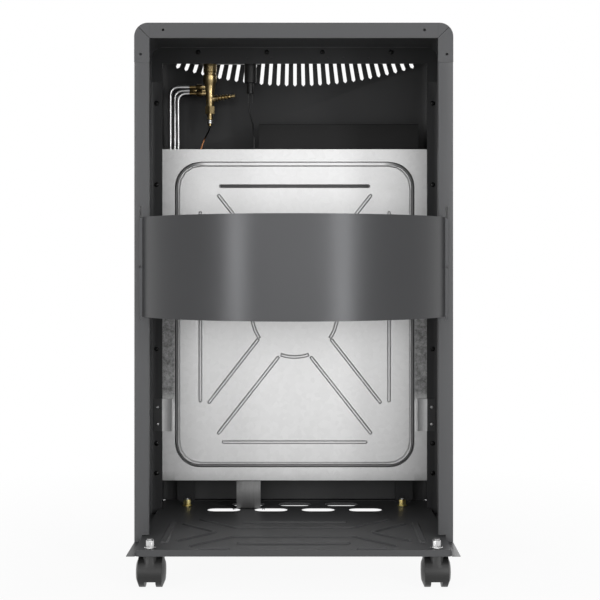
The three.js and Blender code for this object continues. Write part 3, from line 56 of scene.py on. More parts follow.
def upright_axis(name):
    """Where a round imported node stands."""
    low, high = node_box(name)
    return (low.x + high.x) / 2, (low.y + high.y) / 2


# cabinet
GAP = 0.0003                    # between pieces that rest on one another
SHEET = 0.0008
CAP_LOW, CAP_HIGH = node_box("top_cap")
PANEL_LOW, PANEL_HIGH = node_box("front_lower_panel")
RIM_Y = CAP_LOW.y               # plane of the rear rim
HALF_WIDTH = CAP_HIGH.x
TOP_Z = CAP_HIGH.z
FLANGE_Y = CAP_HIGH.y - SHEET   # rear face of the flanges deep in the cabinet
FLOOR_Z = PANEL_LOW.z - GAP     # upper face of the base pan
CASING_Y = node_box("front_console")[1].y

# controls
VALVE_AT = upright_axis("valve_spindle")
VALVE_FOOT = node_box("gas_valve")[0].z + 0.0033        # lower end of its sleeve nut
KNOB_TOP = node_box("control_knob")[1].z
UNIONS_FROM = (VALVE_AT[0] - 0.0305, 0.6)               # where the tubes' union nuts begin
HEATED_LEAD = 0.598             # where the thermocouple's lead turns dark

# regions of a finish, each ending just beside the faces that it is for
CABINET_INSIDE = (HALF_WIDTH - 0.0004, RIM_Y + 0.0003, TOP_Z - 0.0004)
CASING_INSIDE = (HALF_WIDTH - 0.0006, CASING_Y - 0.0006, TOP_Z - 0.0006)
FLANGES_INSIDE = (HALF_WIDTH - 0.0015, FLANGE_Y - 0.0005, TOP_Z - 0.0015)
FLANGES_BEYOND = (HALF_WIDTH - 0.0175, TOP_Z - 0.028)
LIP_EDGES = (HALF_WIDTH - 0.0205, HALF_WIDTH - 0.0195)  # of the lip folded in from the rim
LIP_FRONT = RIM_Y + 0.0065
CLIP_LAP = HALF_WIDTH - 0.0164  # from here outwards a clip lies on its flange
POINTER_HALF = 0.0013           # of the width of the knob's pointer
POINTER_FROM = 0.0025           # from the knob's middle
POINTER_FLOOR = (KNOB_TOP - 0.0012, KNOB_TOP - 0.0004)

# heat shield: the pressed groove that runs round it
SHIELD_LOW, SHIELD_HIGH = node_box("heat_shield")
GROOVE_HALF = (SHIELD_HIGH.x - 0.0223, 0.2208)
GROOVE_MIDDLE = SHIELD_LOW.z + 0.2426
GROOVE_RADIUS = 0.034
GROOVE_WIDTH = 0.0026           # either side of its middle

# heights over which the groove's upper run, which is lit, is left without its painted shade, and
# how far to the sides
LIT_RUN_HEIGHTS = (SHIELD_HIGH.z - 0.033, SHIELD_HIGH.z - 0.027)
LIT_RUN_HALF = (0.15, 0.13)

# the pressed bar near the shield's top, given a dark band of painted shade, and half its length
# and height
HANDLE_AT = SHIELD_HIGH.z - 0.0538
HANDLE_SIZE = (0.1085, 0.0023)

# where the borders outside the groove begin, and the heights between which they are sooty
BORDER = (SHIELD_HIGH.x - 0.0205, SHIELD_HIGH.x - 0.0185)
SOOT_FROM = (SHIELD_LOW.z + 0.1116, SHIELD_LOW.z + 0.1316)
SOOT_TO = (SHIELD_HIGH.z - 0.1, SHIELD_HIGH.z - 0.123)
DULL_FOOT = (SHIELD_LOW.z + 0.0186, SHIELD_LOW.z + 0.0046)      # heights over which it dulls

# ------------------------------------------------------------------ camera and light

CAMERA_AT = (0.0122, RIM_Y - 1.65, 0.413)
CAMERA_LENS = 75.24
CAMERA_SHIFT = (-0.005, -0.0633)


def add_camera():
    data = bpy.data.cameras.new("photo_camera")
    data.sensor_width = 36.0
    data.lens = CAMERA_LENS
    data.shift_x, data.shift_y = CAMERA_SHIFT
    data.clip_start = 0.05
    camera = bpy.data.objects.new("photo_camera", data)
    camera.location = CAMERA_AT
    camera.rotation_euler = (math.radians(90), 0, 0)
    scene.collection.objects.link(camera)
    scene.camera = camera


LAMPS = {                       # place, size and power
    "bay_softbox": ((0.05, -3.4, 0.62), (3.0, 1.2), 22),
    "left_softbox": ((-1.4, -1.75, 0.6), (0.35, 1.7), 18),
    "right_softbox": ((1.25, -1.9, 0.6), (0.35, 1.7), 22),
    "front_softbox": ((0.9, 2.7, 1.3), (2.0, 2.0), 26),
    "top_softbox": ((0, 0.2, 3.0), (2.0, 2.0), 12),
}
LIT_POINT = (0, 0, 0.4)


def light_studio():
    for name, (place, size, watts) in LAMPS.items():
        data = bpy.data.lights.new(name, "AREA")
        data.shape = "RECTANGLE"
        data.size, data.size_y = size
        data.energy = watts
        lamp = bpy.data.objects.new(name, data)
        lamp.location = place
        towards = Vector(LIT_POINT) - Vector(place)
        lamp.rotation_euler = towards.to_track_quat("-Z", "Y").to_euler()
        scene.collection.objects.link(lamp)


# ------------------------------------------------------------------ shader writing


class Value:
    """What a socket gives. Arithmetic on it adds Math nodes."""

    def __init__(self, shading, socket):
        self.shading = shading
        self.socket = socket

    def __add__(self, other):
        return self.shading.math("ADD", self, other)

    def __radd__(self, other):
        return self.shading.math("ADD", other, self)

    def __sub__(self, other):
        return self.shading.math("SUBTRACT", self, other)

    def __rsub__(self, other):
        return self.shading.math("SUBTRACT", other, self)

    def __mul__(self, other):
        return self.shading.math("MULTIPLY", self, other)

    def __rmul__(self, other):
        return self.shading.math("MULTIPLY", other, self)


def make_node(tree, kind, settings, sockets, feed):
    """Adds a node. A socket is named with _ for a space, or n0, n1 and so on by its place."""
    made = tree.nodes.new(kind)
    for key, value in (settings or {}).items():
        setattr(made, key, value)
    for key, value in sockets.items():
        by_place = key[0] == "n" and key[1:].isdigit()
        feed(made.inputs[int(key[1:]) if by_place else key.replace("_", " ")], value)
    return made


class Shading:
    """A shader tree, written as expressions."""

    def __init__(self, tree, output):
        self.tree = tree
        self.tree.nodes.clear()
        self.output = self.tree.nodes.new(output)

    def node(self, kind, out=0, settings=None, **sockets):
        made = make_node(self.tree, kind, settings, sockets, self.feed)
        return Value(self, made.outputs[out])

    def feed(self, socket, value):
        if isinstance(value, Value):
            self.tree.links.new(value.socket, socket)
        else:
            socket.default_value = value

    def show(self, shader):
        self.tree.links.new(shader.socket, self.output.inputs[0])

    def math(self, operation, first, second=0.0, clamp=False):
        settings = {"operation": operation, "use_clamp": clamp}
        return self.node("ShaderNodeMath", 0, settings, n0=first, n1=second)

    def limit(self, value):
        """The value kept between 0 and 1."""
        return self.math("ADD", value, 0.0, clamp=True)

    def size(self, value):
        """The value without its sign."""
        return self.math("ABSOLUTE", value)

    def above(self, value, limit):
        return self.math("GREATER_THAN", value, limit)

    def below(self, value, limit):
        return self.math("LESS_THAN", value, limit)

    def ramp(self, value, low, high):
        """0 at low, 1 at high, and held beyond both."""
        return self.node("ShaderNodeMapRange", Value=value, From_Min=low, From_Max=high)

    def plain_white_rays(self):
        """1 for the rays that see the background as plain white."""
        seen = 0.0
        for ray in ("Is Camera Ray", "Is Glossy Ray", "Is Transmission Ray"):
            seen = self.math("MAXIMUM", self.node("ShaderNodeLightPath", ray), seen)
        return seen


class Finish(Shading):
    """One procedural material over the object's own coordinates."""

    def __init__(self, name):
        self.material = bpy.data.materials.new(name)
        self.material.use_nodes = True
        super().__init__(self.material.node_tree, "ShaderNodeOutputMaterial")
        self.place = self.node("ShaderNodeTexCoord", "Object")

    def mix(self, share, first, second):
        return self.node("ShaderNodeMix", 2, {"data_type": "RGBA"}, n0=share, n6=first, n7=second)

    def tone(self, colour, strength):
        """The colour made lighter or darker."""
        vector = colour if isinstance(colour, Value) else colour[:3]
        return self.node("ShaderNodeVectorMath", 0, {"operation": "SCALE"}, n0=vector,
                         Scale=strength)

    def noise(self, scale, detail=3.0, stretch=None, rough=0.5):
        place = self.place
        if stretch:
            place = self.node("ShaderNodeMapping", Vector=place, Scale=stretch)
        return self.node("ShaderNodeTexNoise", Vector=place, Scale=scale, Detail=detail,
                         Roughness=rough)

    def spangles(self, scale):
        """A value for each cell of an irregular pattern."""
        cells = self.node("ShaderNodeTexVoronoi", "Color", Vector=self.place, Scale=scale)
        return self.node("ShaderNodeSeparateColor", Color=cells)

    def along(self, axis):
        return self.node("ShaderNodeSeparateXYZ", "XYZ".index(axis), Vector=self.place)

    def off_middle(self):
        """Distance to either side of the heater's middle plane."""
        return self.size(self.along("X"))

    def bump(self, height, depth):
        return self.node("ShaderNodeBump", "Normal", Height=height, Distance=depth)

    def surface(self, **sockets):
        self.show(self.node("ShaderNodeBsdfPrincipled", **sockets))
        return self.material


def grey(level, tint=(1, 1, 1)):
    """A linear colour from a screen grey level of 0 to 255."""
    share = level / 255
    linear = share / 12.92 if share <= 0.04045 else ((share + 0.055) / 1.055) ** 2.4
    return (linear * tint[0], linear * tint[1], linear * tint[2], 1.0)


# ------------------------------------------------------------------ finishes

COOL = (0.985, 0.995, 1.03)


def powder_coat(name, level, roughness, specular, regions=(), metal=0.0):
    """Baked paint: fine orange peel, dull patches and pale handling marks.

    regions holds (mask, level) pairs: a mask is a function of the finish.
    """
    f = Finish(name)
    patches = f.noise(7.0, detail=4)
    grain = f.noise(1500.0, detail=2)
    marks = f.ramp(f.noise(60.0, detail=6, stretch=(1, 1, 0.15), rough=0.7), 0.68, 0.8)
    base = grey(level, COOL)
    for mask, other in regions:
        base = f.mix(mask(f), base, grey(other, COOL))
    shade = f.limit(patches * 0.6 + grain * 0.4)
    peel = f.noise(520.0, detail=2)
    return f.surface(
        Base_Color=f.tone(base, 0.9 + shade * 0.2 + marks * 0.12),
        Specular_IOR_Level=specular, Metallic=metal,
        Roughness=f.limit(roughness - 0.06 + patches * 0.12 + marks * 0.08),
        Normal=f.bump(peel * 0.7 + grain * 0.3, 0.00006))


def enclosed(f, half_width, top):
    """What lies under a top, between two sides."""
    return f.below(f.off_middle(), half_width) * f.below(f.along("Z"), top)


def within_cabinet(f):
    """The inner faces of the cabinet's sheets."""
    half_width, rear, top = CABINET_INSIDE
    return enclosed(f, half_width, top) * f.above(f.along("Y"), rear)


def within_casing(f):
    """The inner faces of the front casing's sheets."""
    half_width, front, top = CASING_INSIDE
    return enclosed(f, half_width, top) * f.below(f.along("Y"), front)


def on_flange(f):
    """The flanges deep in the cabinet, with the screws."""
    half_width, rear, top = FLANGES_INSIDE
    across, height = FLANGES_BEYOND
    beyond = f.math("MAXIMUM", f.above(f.off_middle(), across), f.above(f.along("Z"), height))
    return beyond * enclosed(f, half_width, top) * f.above(f.along("Y"), rear)


def rim_lip(f):
    """The lip folded in from the rim."""
    across = f.off_middle()
    near, far = LIP_EDGES
    return f.above(across, near) * f.below(across, far) * f.below(f.along("Y"), LIP_FRONT)


def over_flange(f):
    """The part of a clip that lies on the cabinet's flange."""
    return f.above(f.off_middle(), CLIP_LAP)


def groove_distance(f):
    """Distance from the middle of the groove that runs round the heat shield."""
    across = f.off_middle() - (GROOVE_HALF[0] - GROOVE_RADIUS)
    up = f.size(f.along("Z") - GROOVE_MIDDLE) - (GROOVE_HALF[1] - GROOVE_RADIUS)
    out_x, out_z = f.math("MAXIMUM", across, 0.0), f.math("MAXIMUM", up, 0.0)
    corner = f.math("SQRT", out_x * out_x + out_z * out_z)
    inside = f.math("MINIMUM", f.math("MAXIMUM", across, up), 0.0)
    return f.size(corner + inside - GROOVE_RADIUS)


def galvanised_sheet():
    """Zinc-coated sheet: faint spangles, sooty borders, and painted shade with some grime in the
    pressed groove and along the pressed bar.
    """
    f = Finish("galvanised_sheet")
    flake = f.spangles(150.0)
    clouds = f.noise(9.0, detail=5, rough=0.6)
    soot = f.noise(170.0, detail=6, rough=0.8)
    reach, height = f.off_middle(), f.along("Z")
    base = f.mix(f.limit(flake * 0.35 + clouds * 0.5), grey(187), grey(205))

    border = f.ramp(reach, *BORDER)
    sooty = border * f.ramp(height, *SOOT_FROM) * f.ramp(height, *SOOT_TO)
    base = f.mix(sooty * 0.92, base, f.mix(f.ramp(soot, 0.35, 0.68), grey(82), grey(176)))
    foot = f.ramp(height + soot * 0.01, *DULL_FOOT) * (0.45 + border * 0.4)
    base = f.mix(f.limit(foot), base, grey(150))

    gap = groove_distance(f)
    # painted shade, with some grime: the groove is darkened as its steep walls would shade it,
    # darkest towards its edges, except on its lit upper run
    lit_upper_run = f.ramp(height, *LIT_RUN_HEIGHTS) * f.ramp(reach, *LIT_RUN_HALF)
    groove = f.below(gap, GROOVE_WIDTH) * (1.0 - lit_upper_run)
    base = f.mix(groove, base, f.mix(f.ramp(gap, 0.0012, 0.002), grey(120), grey(66)))
    # painted shade: a dark band along the pressed bar, where its walls would be shaded
    handle = f.below(f.size(height - HANDLE_AT), HANDLE_SIZE[1]) * f.below(
        reach, HANDLE_SIZE[0])
    base = f.mix(handle, base, grey(84))

    # where the groove and the bar carry painted shade and grime, the sheet is also duller and
    # rougher
    shade_and_grime = f.math("MAXIMUM", groove, handle)
    rolling = f.noise(700.0, detail=2, stretch=(0.04, 1, 1))
    return f.surface(
        Base_Color=base, Metallic=0.7 - shade_and_grime * 0.4 - sooty * 0.3,
        Roughness=f.limit(0.34 + flake * 0.05 + clouds * 0.08 + sooty * 0.2 + shade_and_grime * 0.2),
        Normal=f.bump(rolling * 0.5 + soot * 0.5, 0.00004))


def bright_sheet(name, level, roughness, direction=(1, 1, 0.03), stain=0.35, painted=None):
    """Rolled bright sheet with fine drawn lines and dull smudges."""
    f = Finish(name)
    drawn = f.noise(1100.0, detail=2, stretch=direction)
    smudge = f.ramp(f.noise(24.0, detail=5, rough=0.65), 0.45, 0.75)
    base = f.mix(f.limit(drawn * 0.7), grey(level - 18), grey(level + 10))
    base = f.mix(smudge * stain, base, grey(level - 60))
    metal = 0.95
    if painted:
        mask = painted(f)
        base = f.mix(mask, base, grey(34, COOL))
        metal = 0.95 - mask * 0.95
    return f.surface(
        Base_Color=base, Metallic=metal,
        Roughness=f.limit(roughness + drawn * 0.1 + smudge * 0.15),
        Normal=f.bump(drawn, 0.00003))


def dark_sheet():
    """Matt heat-resistant paint."""
    f = Finish("dark_sheet")
    patches = f.noise(14.0, detail=5)
    grain = f.noise(900.0, detail=2)
    base = f.mix(f.limit(patches * 0.7 + grain * 0.3), grey(20), grey(32))
    return f.surface(Base_Color=base, Specular_IOR_Level=0.25,
                     Roughness=f.limit(0.62 + patches * 0.15),
                     Normal=f.bump(grain, 0.00008))


def brass():
    """Turned brass, a little tarnished in patches."""
    f = Finish("turned_brass")
    tarnish = f.ramp(f.noise(90.0, detail=5, rough=0.65), 0.4, 0.75)
    rings = f.noise(1600.0, detail=1, stretch=(0.1, 0.1, 1))
    base = f.mix(tarnish, (0.42, 0.32, 0.16, 1), (0.15, 0.11, 0.055, 1))
    return f.surface(
        Base_Color=base, Metallic=0.95, Roughness=f.limit(0.24 + tarnish * 0.22 + rings * 0.06),
        Normal=f.bump(rings, 0.00003))


def drawn_aluminium():
    """Soft tube, dull with faint lines along it, and dark brass where its union nuts are: tarnish
    with painted shade.
    """
    f = Finish("drawn_aluminium")
    lines = f.noise(800.0, detail=2, stretch=(1, 1, 0.04))
    dull = f.noise(40.0, detail=4)
    base = f.mix(f.limit(dull), grey(172), grey(226))
    across, height = UNIONS_FROM
    nuts = f.above(f.along("X"), across) * f.above(f.along("Z"), height)
    # dark brass on the union nuts: tarnish, and painted shade where they sit in shadow by the
    # valve
    base = f.mix(nuts, base, (0.2, 0.14, 0.06, 1))
    return f.surface(
        Base_Color=base, Metallic=0.95, Roughness=f.limit(0.27 + dull * 0.16 + lines * 0.05),
        Normal=f.bump(lines, 0.00003))


def plated(name, level, roughness):
    """Smooth plating with a faint haze."""
    f = Finish(name)
    haze = f.noise(70.0, detail=4)
    specks = f.noise(1300.0, detail=2)
    base = f.mix(f.limit(haze), grey(level - 16), grey(level + 12))
    return f.surface(Base_Color=base, Metallic=1.0,
                     Roughness=f.limit(roughness + haze * 0.12),
                     Normal=f.bump(specks, 0.00002))


def yellow_zinc():
    """Passivated zinc plating: pale gold with rose and green patches."""
    f = Finish("yellow_zinc")
    drift = f.noise(160.0, detail=3)
    base = f.mix(f.ramp(drift, 0.35, 0.65), (0.74, 0.56, 0.2, 1), (0.6, 0.6, 0.3, 1))
    return f.surface(Base_Color=base, Metallic=0.9, Roughness=f.limit(0.2 + drift * 0.2),
                     Normal=f.bump(f.noise(1200.0), 0.00003))


def fired_ceramic(name, share):
    """White burner ceramic: chalky, with warm clouds. share below 1 darkens it."""
    f = Finish(name)
    clouds = f.noise(16.0, detail=5)
    chalk = f.noise(850.0, detail=3)
    base = f.mix(f.limit(clouds * 0.8), (0.77, 0.7, 0.6, 1), (0.85, 0.81, 0.74, 1))
    base = f.mix(f.limit(chalk * 0.25), base, (0.6, 0.5, 0.4, 1))
    return f.surface(Base_Color=f.tone(base, share), Roughness=0.9,
                     Normal=f.bump(chalk, 0.0001))


def knob_pointer(f):
    """The floor of the knob's pointer recess."""
    height = f.along("Z")
    low, high = POINTER_FLOOR
    across = f.below(f.size(f.along("X") - VALVE_AT[0]), POINTER_HALF)
    ahead = f.above(f.along("Y"), VALVE_AT[1] + POINTER_FROM)
    return across * ahead * f.above(height, low) * f.below(height, high)


def moulded_plastic(name, level, roughness, steel_above=None, painted=None):
    """Moulded black plastic with a spark-eroded grain.

    What stands higher than steel_above is steel, and what the mask painted covers is pale.
    """
    f = Finish(name)
    grain = f.noise(700.0, detail=2)
    shine = f.noise(28.0, detail=4)
    base = f.mix(f.limit(shine * 0.7 + grain * 0.2), grey(level - 5), grey(level + 6))
    metal = 0.0
    if painted:
        base = f.mix(painted(f), base, f.mix(f.limit(shine * 0.8), grey(226), grey(196)))
    if steel_above:
        metal = f.above(f.along("Z"), steel_above)
        base = f.mix(metal, base, grey(150))
    return f.surface(Base_Color=base, Metallic=metal, Specular_IOR_Level=0.35,
                     Roughness=f.limit(roughness - 0.05 + shine * 0.12),
                     Normal=f.bump(grain, 0.00008))


def lead_sleeve(name, colour, roughness, metallic=0.0, dark_above=None):
    """Sleeve of a lead: darkened by heat above a level, where one is given."""
    f = Finish(name)
    drift = f.noise(120.0, detail=4)
    base = f.mix(f.limit(drift), tuple(0.6 * part for part in colour[:3]) + (1,), colour)
    if dark_above:
        base = f.mix(f.ramp(f.along("Z"), dark_above - 0.008, dark_above), base, grey(30))
    return f.surface(Base_Color=base, Metallic=metallic,
                     Roughness=f.limit(roughness + drift * 0.15),
                     Normal=f.bump(f.noise(900.0), 0.00004))


# ------------------------------------------------------------------ geometry trees


class Tree:
    """A Geometry Nodes tree with named inputs."""

    def __init__(self, name, **inputs):
        self.group = bpy.data.node_groups.new(name, "GeometryNodeTree")
        self.group.interface.new_socket("Geometry", in_out="INPUT",
                                        socket_type="NodeSocketGeometry")
        self.sockets = {}
        for key, (kind, default) in inputs.items():
            item = self.group.interface.new_socket(key.replace("_", " "), in_out="INPUT",
                                                   socket_type=f"NodeSocket{kind}")
            if default is not None:
                item.default_value = default
            self.sockets[key] = item.identifier
        self.group.interface.new_socket("Geometry", in_out="OUTPUT",
                                        socket_type="NodeSocketGeometry")
        self.given = self.group.nodes.new("NodeGroupInput")
        self.result = self.group.nodes.new("NodeGroupOutput")

    def input(self, key):
        return self.given.outputs[key]

    def node(self, kind, settings=None, **sockets):
        return make_node(self.group, kind, settings, sockets, self.feed)

    def feed(self, socket, value):
        if isinstance(value, bpy.types.NodeSocket):
            self.group.links.new(value, socket)
        else:
            socket.default_value = value

    def math(self, operation, first, second):
        settings = {"operation": operation}
        return self.node("ShaderNodeMath", settings, n0=first, n1=second).outputs[0]

    def real(self, geometry):
        """Real faces in the material of the input called Material."""
        faces = self.node("GeometryNodeRealizeInstances", Geometry=geometry)
        return self.node("GeometryNodeSetMaterial", Geometry=faces.outputs[0],
                         Material=self.input("Material")).outputs[0]

    def give(self, geometry):
        self.group.links.new(geometry, self.result.inputs[0])


def grown(name, tree, source, body, slot, **values):
    """Runs the tree on a source mesh and keeps the result as one plain mesh on a body."""
    carrier = bpy.data.objects.new(name + "_source", source)
    scene.collection.objects.link(carrier)
    modifier = carrier.modifiers.new("grow", "NODES")
    modifier.node_group = tree.group
    for key, value in values.items():
        modifier[tree.sockets[key]] = value
    ready = carrier.evaluated_get(bpy.context.evaluated_depsgraph_get())
    mesh = bpy.data.meshes.new_from_object(ready)
    mesh.name = name
    carrier.modifiers.clear()
    bpy.data.objects.remove(carrier)
    piece = bpy.data.objects.new(name, mesh)
    scene.collection.objects.link(piece)
    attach(piece, body)
    return piece


def points_mesh(name, places):
    """Loose points, each with the direction it faces."""
    mesh = bpy.data.meshes.new(name)
    mesh.from_pydata([at for at, _ in places], [], [])
    facing = mesh.attributes.new("facing", "FLOAT_VECTOR", "POINT")
    for n, (_, way) in enumerate(places):
        facing.data[n].vector = way
    return mesh


HEAD_SIDES = 16
HEAD_STEPS = 6                  # from its foot to its top
HEAD_CLOSING = 0.62             # share of the radius that is lost at the top
CROSS_REACH = 1.25              # length of the cross recess, in radii


def domed_head(tree, radius, height):
    """A turned head: a straight line swept with a radius that closes to a dome."""
    line = tree.node("GeometryNodeCurvePrimitiveLine", End=(0, 0, 1))
    fine = tree.node("GeometryNodeResampleCurve", Curve=line.outputs[0], Count=HEAD_STEPS)
    share = tree.node("GeometryNodeSplineParameter").outputs[0]
    closing = tree.math("MULTIPLY", tree.math("POWER", share, 3.0), HEAD_CLOSING)
    girth = tree.math("MULTIPLY", tree.math("SUBTRACT", 1.0, closing), radius)
    lift = tree.node("ShaderNodeCombineXYZ", Z=tree.math("MULTIPLY", share, height))
    set_place = tree.node("GeometryNodeSetPosition", Geometry=fine.outputs[0],
                          Position=lift.outputs[0])
    ring = tree.node("GeometryNodeCurvePrimitiveCircle", Resolution=HEAD_SIDES, Radius=1.0)
    return tree.node("GeometryNodeCurveToMesh", Curve=set_place.outputs[0],
                     Profile_Curve=ring.outputs[0], Scale=girth, Fill_Caps=True)


def screw_tree():
    """Pan heads with a cross recess, each turned at random, on points that face outwards."""
    tree = Tree("pan_head_screws", Radius=("Float", 0.003), Height=("Float", 0.002),
                Recess=("Float", 0.0007), Seed=("Int", 3), Material=("Material", None))
    radius, height, recess = (tree.input(key) for key in ("Radius", "Height", "Recess"))
    head = domed_head(tree, radius, height)
    reach = tree.math("MULTIPLY", radius, CROSS_REACH)
    top = tree.node("ShaderNodeCombineXYZ", Z=height)
    cross = tree.node("GeometryNodeMeshBoolean", {"operation": "UNION"})
    for x, y in ((recess, reach), (reach, recess)):
        extent = tree.node("ShaderNodeCombineXYZ", X=x, Y=y, Z=height)
        bar = tree.node("GeometryNodeMeshCube", Size=extent.outputs[0])
        arm = tree.node("GeometryNodeTransform", Geometry=bar.outputs[0],
                        Translation=top.outputs[0])
        tree.feed(cross.inputs["Mesh"], arm.outputs[0])
    cut = tree.node("GeometryNodeMeshBoolean", {"operation": "DIFFERENCE"})
    tree.feed(cut.inputs[0], head.outputs[0])
    tree.feed(cut.inputs[1], cross.outputs[0])
    place_heads(tree, cut.outputs[0])
    return tree


def place_heads(tree, head):
    """A copy of the head on every point, turned at random about the way it faces."""
    facing = tree.node("GeometryNodeInputNamedAttribute", {"data_type": "FLOAT_VECTOR"},
                       Name="facing")
    aligned = tree.node("FunctionNodeAlignRotationToVector", {"axis": "Z"},
                        Vector=facing.outputs[0])
    turn = tree.node("FunctionNodeRandomValue", {"data_type": "FLOAT"}, n3=math.pi,
                     Seed=tree.input("Seed"))
    spin = tree.node("ShaderNodeCombineXYZ", Z=turn.outputs[1])
    turned = tree.node("FunctionNodeRotateRotation", {"rotation_space": "LOCAL"},
                       n0=aligned.outputs[0], n1=spin.outputs[0])
    copies = tree.node("GeometryNodeInstanceOnPoints", Points=tree.input("Geometry"),
                       Instance=head, Rotation=turned.outputs[0])
    tree.give(tree.real(copies.outputs[0]))


def port_tree():
    """A plaque: every marked cell of its front gets a blind port pressed into it, with a floor in
    darker ceramic as painted shade.
    """
    tree = Tree("plaque_ports", Depth=("Float", 0.0025), Share=("Float", 0.58),
                Material=("Material", None), Port_Material=("Material", None))
    cell = tree.node("GeometryNodeInputNamedAttribute", {"data_type": "BOOLEAN"}, Name="cell")
    rim = tree.node("GeometryNodeExtrudeMesh", {"mode": "FACES"}, Mesh=tree.input("Geometry"),
                    Selection=cell.outputs[0], Offset_Scale=0.0, Individual=True)
    inset = tree.node("GeometryNodeScaleElements", {"domain": "FACE"}, Geometry=rim.outputs[0],
                      Selection=rim.outputs[1], Scale=tree.input("Share"))
    deep = tree.math("MULTIPLY", tree.input("Depth"), -1.0)
    port = tree.node("GeometryNodeExtrudeMesh", {"mode": "FACES"}, Mesh=inset.outputs[0],
                     Selection=rim.outputs[1], Offset_Scale=deep, Individual=True)
    # the ports' floors take the port material: darker ceramic that paints the shade deep in each
    # port
    dark = tree.node("GeometryNodeSetMaterial", Geometry=tree.real(port.outputs[0]),
                     Selection=port.outputs[1], Material=tree.input("Port Material"))
    tree.give(dark.outputs[0])
    return tree


SHEET_BEND = math.radians(32)   # bends up to this angle are shaded round
ROUND_BEND = math.radians(66)   # the same for what is round all along
ROUND_NODES = ("gas_tube", "guard_grille", "thermocouple_lead", "igniter_lead")


def smoothing_tree():
    """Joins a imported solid's loose triangles and rounds the shading of its gentle bends."""
    tree = Tree("gentle_bends", Angle=("Float", SHEET_BEND))
    merged = tree.node("GeometryNodeMergeByDistance", Geometry=tree.input("Geometry"),
                       Distance=0.00001)
    angle = tree.node("GeometryNodeInputMeshEdgeAngle")
    gentle = tree.node("FunctionNodeCompare", {"data_type": "FLOAT", "operation": "LESS_THAN"},
                       n0=angle.outputs[0], n1=tree.input("Angle"))
    edges = tree.node("GeometryNodeSetShadeSmooth", {"domain": "EDGE"},
                      Geometry=merged.outputs[0], Shade_Smooth=gentle.outputs[0])
    faces = tree.node("GeometryNodeSetShadeSmooth", {"domain": "FACE"},
                      Geometry=edges.outputs[0], Shade_Smooth=True)
    tree.give(faces.outputs[0])
    return tree


# ------------------------------------------------------------------ studio

WHITE = (1, 1, 1, 1)
FLOOR_REACH = 9.0
FLOOR_LEVEL = -0.0005           # just under the wheels
FADE = (0.35, 0.9)              # from the middle, where the floor's shade fades to white
FLOOR_GLOW = 0.93               # how white the floor looks under the heater
AMBIENT = 0.25                  # light of the surroundings on the heater


def add_stage():
    """A white floor that keeps the heater's shadow."""
    x = y = FLOOR_REACH
    z = FLOOR_LEVEL
    mesh = bpy.data.meshes.new("studio_floor")
    mesh.from_pydata([(-x, -y, z), (x, -y, z), (x, y, z), (-x, y, z)], [], [(0, 1, 2, 3)])
    floor = bpy.data.objects.new("studio_floor", mesh)
    scene.collection.objects.link(floor)
    f = Finish("studio_white")
    away = f.ramp(f.node("ShaderNodeVectorMath", "Value", {"operation": "LENGTH"},
                         Vector=f.place), *FADE)
    paper = f.node("ShaderNodeBsdfDiffuse", Color=(0.92, 0.92, 0.92, 1))
    glow = f.node("ShaderNodeEmission", Color=WHITE, Strength=1.0)
    share = f.plain_white_rays() * (FLOOR_GLOW + away * (1 - FLOOR_GLOW))
    f.show(f.node("ShaderNodeMixShader", n0=share, n1=paper, n2=glow))
    mesh.materials.append(f.material)


def add_world():
    world = bpy.data.worlds.new("studio")
    scene.world = world
    world.use_nodes = True
    sky = Shading(world.node_tree, "ShaderNodeOutputWorld")
    strength = AMBIENT + sky.plain_white_rays() * (1 - AMBIENT)
    sky.show(sky.node("ShaderNodeBackground", Color=WHITE, Strength=strength))


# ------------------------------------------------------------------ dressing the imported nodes

NODE_FINISHES = {               # by the beginning of a node's name
    "base_pan": "pan_paint", "side_panel": "cabinet_paint", "top_cap": "cabinet_paint",
    "front_": "casing_paint", "retaining_strap": "strap_paint",
    "heat_shield": "galvanised", "shield_bracket": "bracket", "shield_clip": "clip",
    "heat_baffle": "dark_sheet",
    "burner_housing": "reflector", "burner_body": "burner_sheet", "ceramic_plaque": "ceramic",
    "injector_rail": "brass", "pilot_burner": "brass", "thermocouple_probe": "probe",
    "ignition_electrode": "ceramic", "guard_grille": "chrome",
    "valve_bracket": "control_bracket", "gas_valve": "brass", "hose_nozzle": "brass",
    "valve_spindle": "brass", "gas_tube": "aluminium", "control_knob": "knob_plastic",
    "knob_collar": "plastic", "igniter_body": "plastic", "igniter_button": "plastic",
    "thermocouple_lead": "copper_lead", "igniter_lead": "rubber_lead",
    "caster_nut_rear": "chrome", "caster_nut_front": "yellow_zinc", "caster_axle": "chrome",
    "caster_hood": "caster_plastic", "caster_wheel": "caster_plastic",
}


def dress_nodes(finishes):
    bends = smoothing_tree()
    for name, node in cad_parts.items():
        finish = next(NODE_FINISHES[start] for start in NODE_FINISHES if name.startswith(start))
        for material_slot in node.material_slots:
            material_slot.material = finishes[finish]
        modifier = node.modifiers.new("gentle_bends", "NODES")
        modifier.node_group = bends.group
        if name.startswith(ROUND_NODES):
            modifier[bends.sockets["Angle"]] = ROUND_BEND


# ------------------------------------------------------------------ fastenings

# distances from the middle plane, and heights
STRIP_SCREWS = ((HALF_WIDTH - 0.00825,), (0.645, 0.526, 0.286, 0.148, 0.1044))
TOP_SCREWS = ((0.141, 0.0405), (TOP_Z - 0.0083,))
CLIP_SCREWS = ((HALF_WIDTH - 0.01,), (0.201, 0.1762))
CLIP_DEPTH = 0.0015             # how far a clip stands before its flange
BRACKET_SCREWS = (-0.0885, -0.0455)
BRACKET_Y = FLANGE_Y - 0.0022


def facing_rear(screws, y):
    """Places on both sides of the middle, with the direction that their screws face."""
    across, levels = screws
    return [((side * x, y, z), (0, -1, 0)) for side in (-1, 1) for x in across for z in levels]


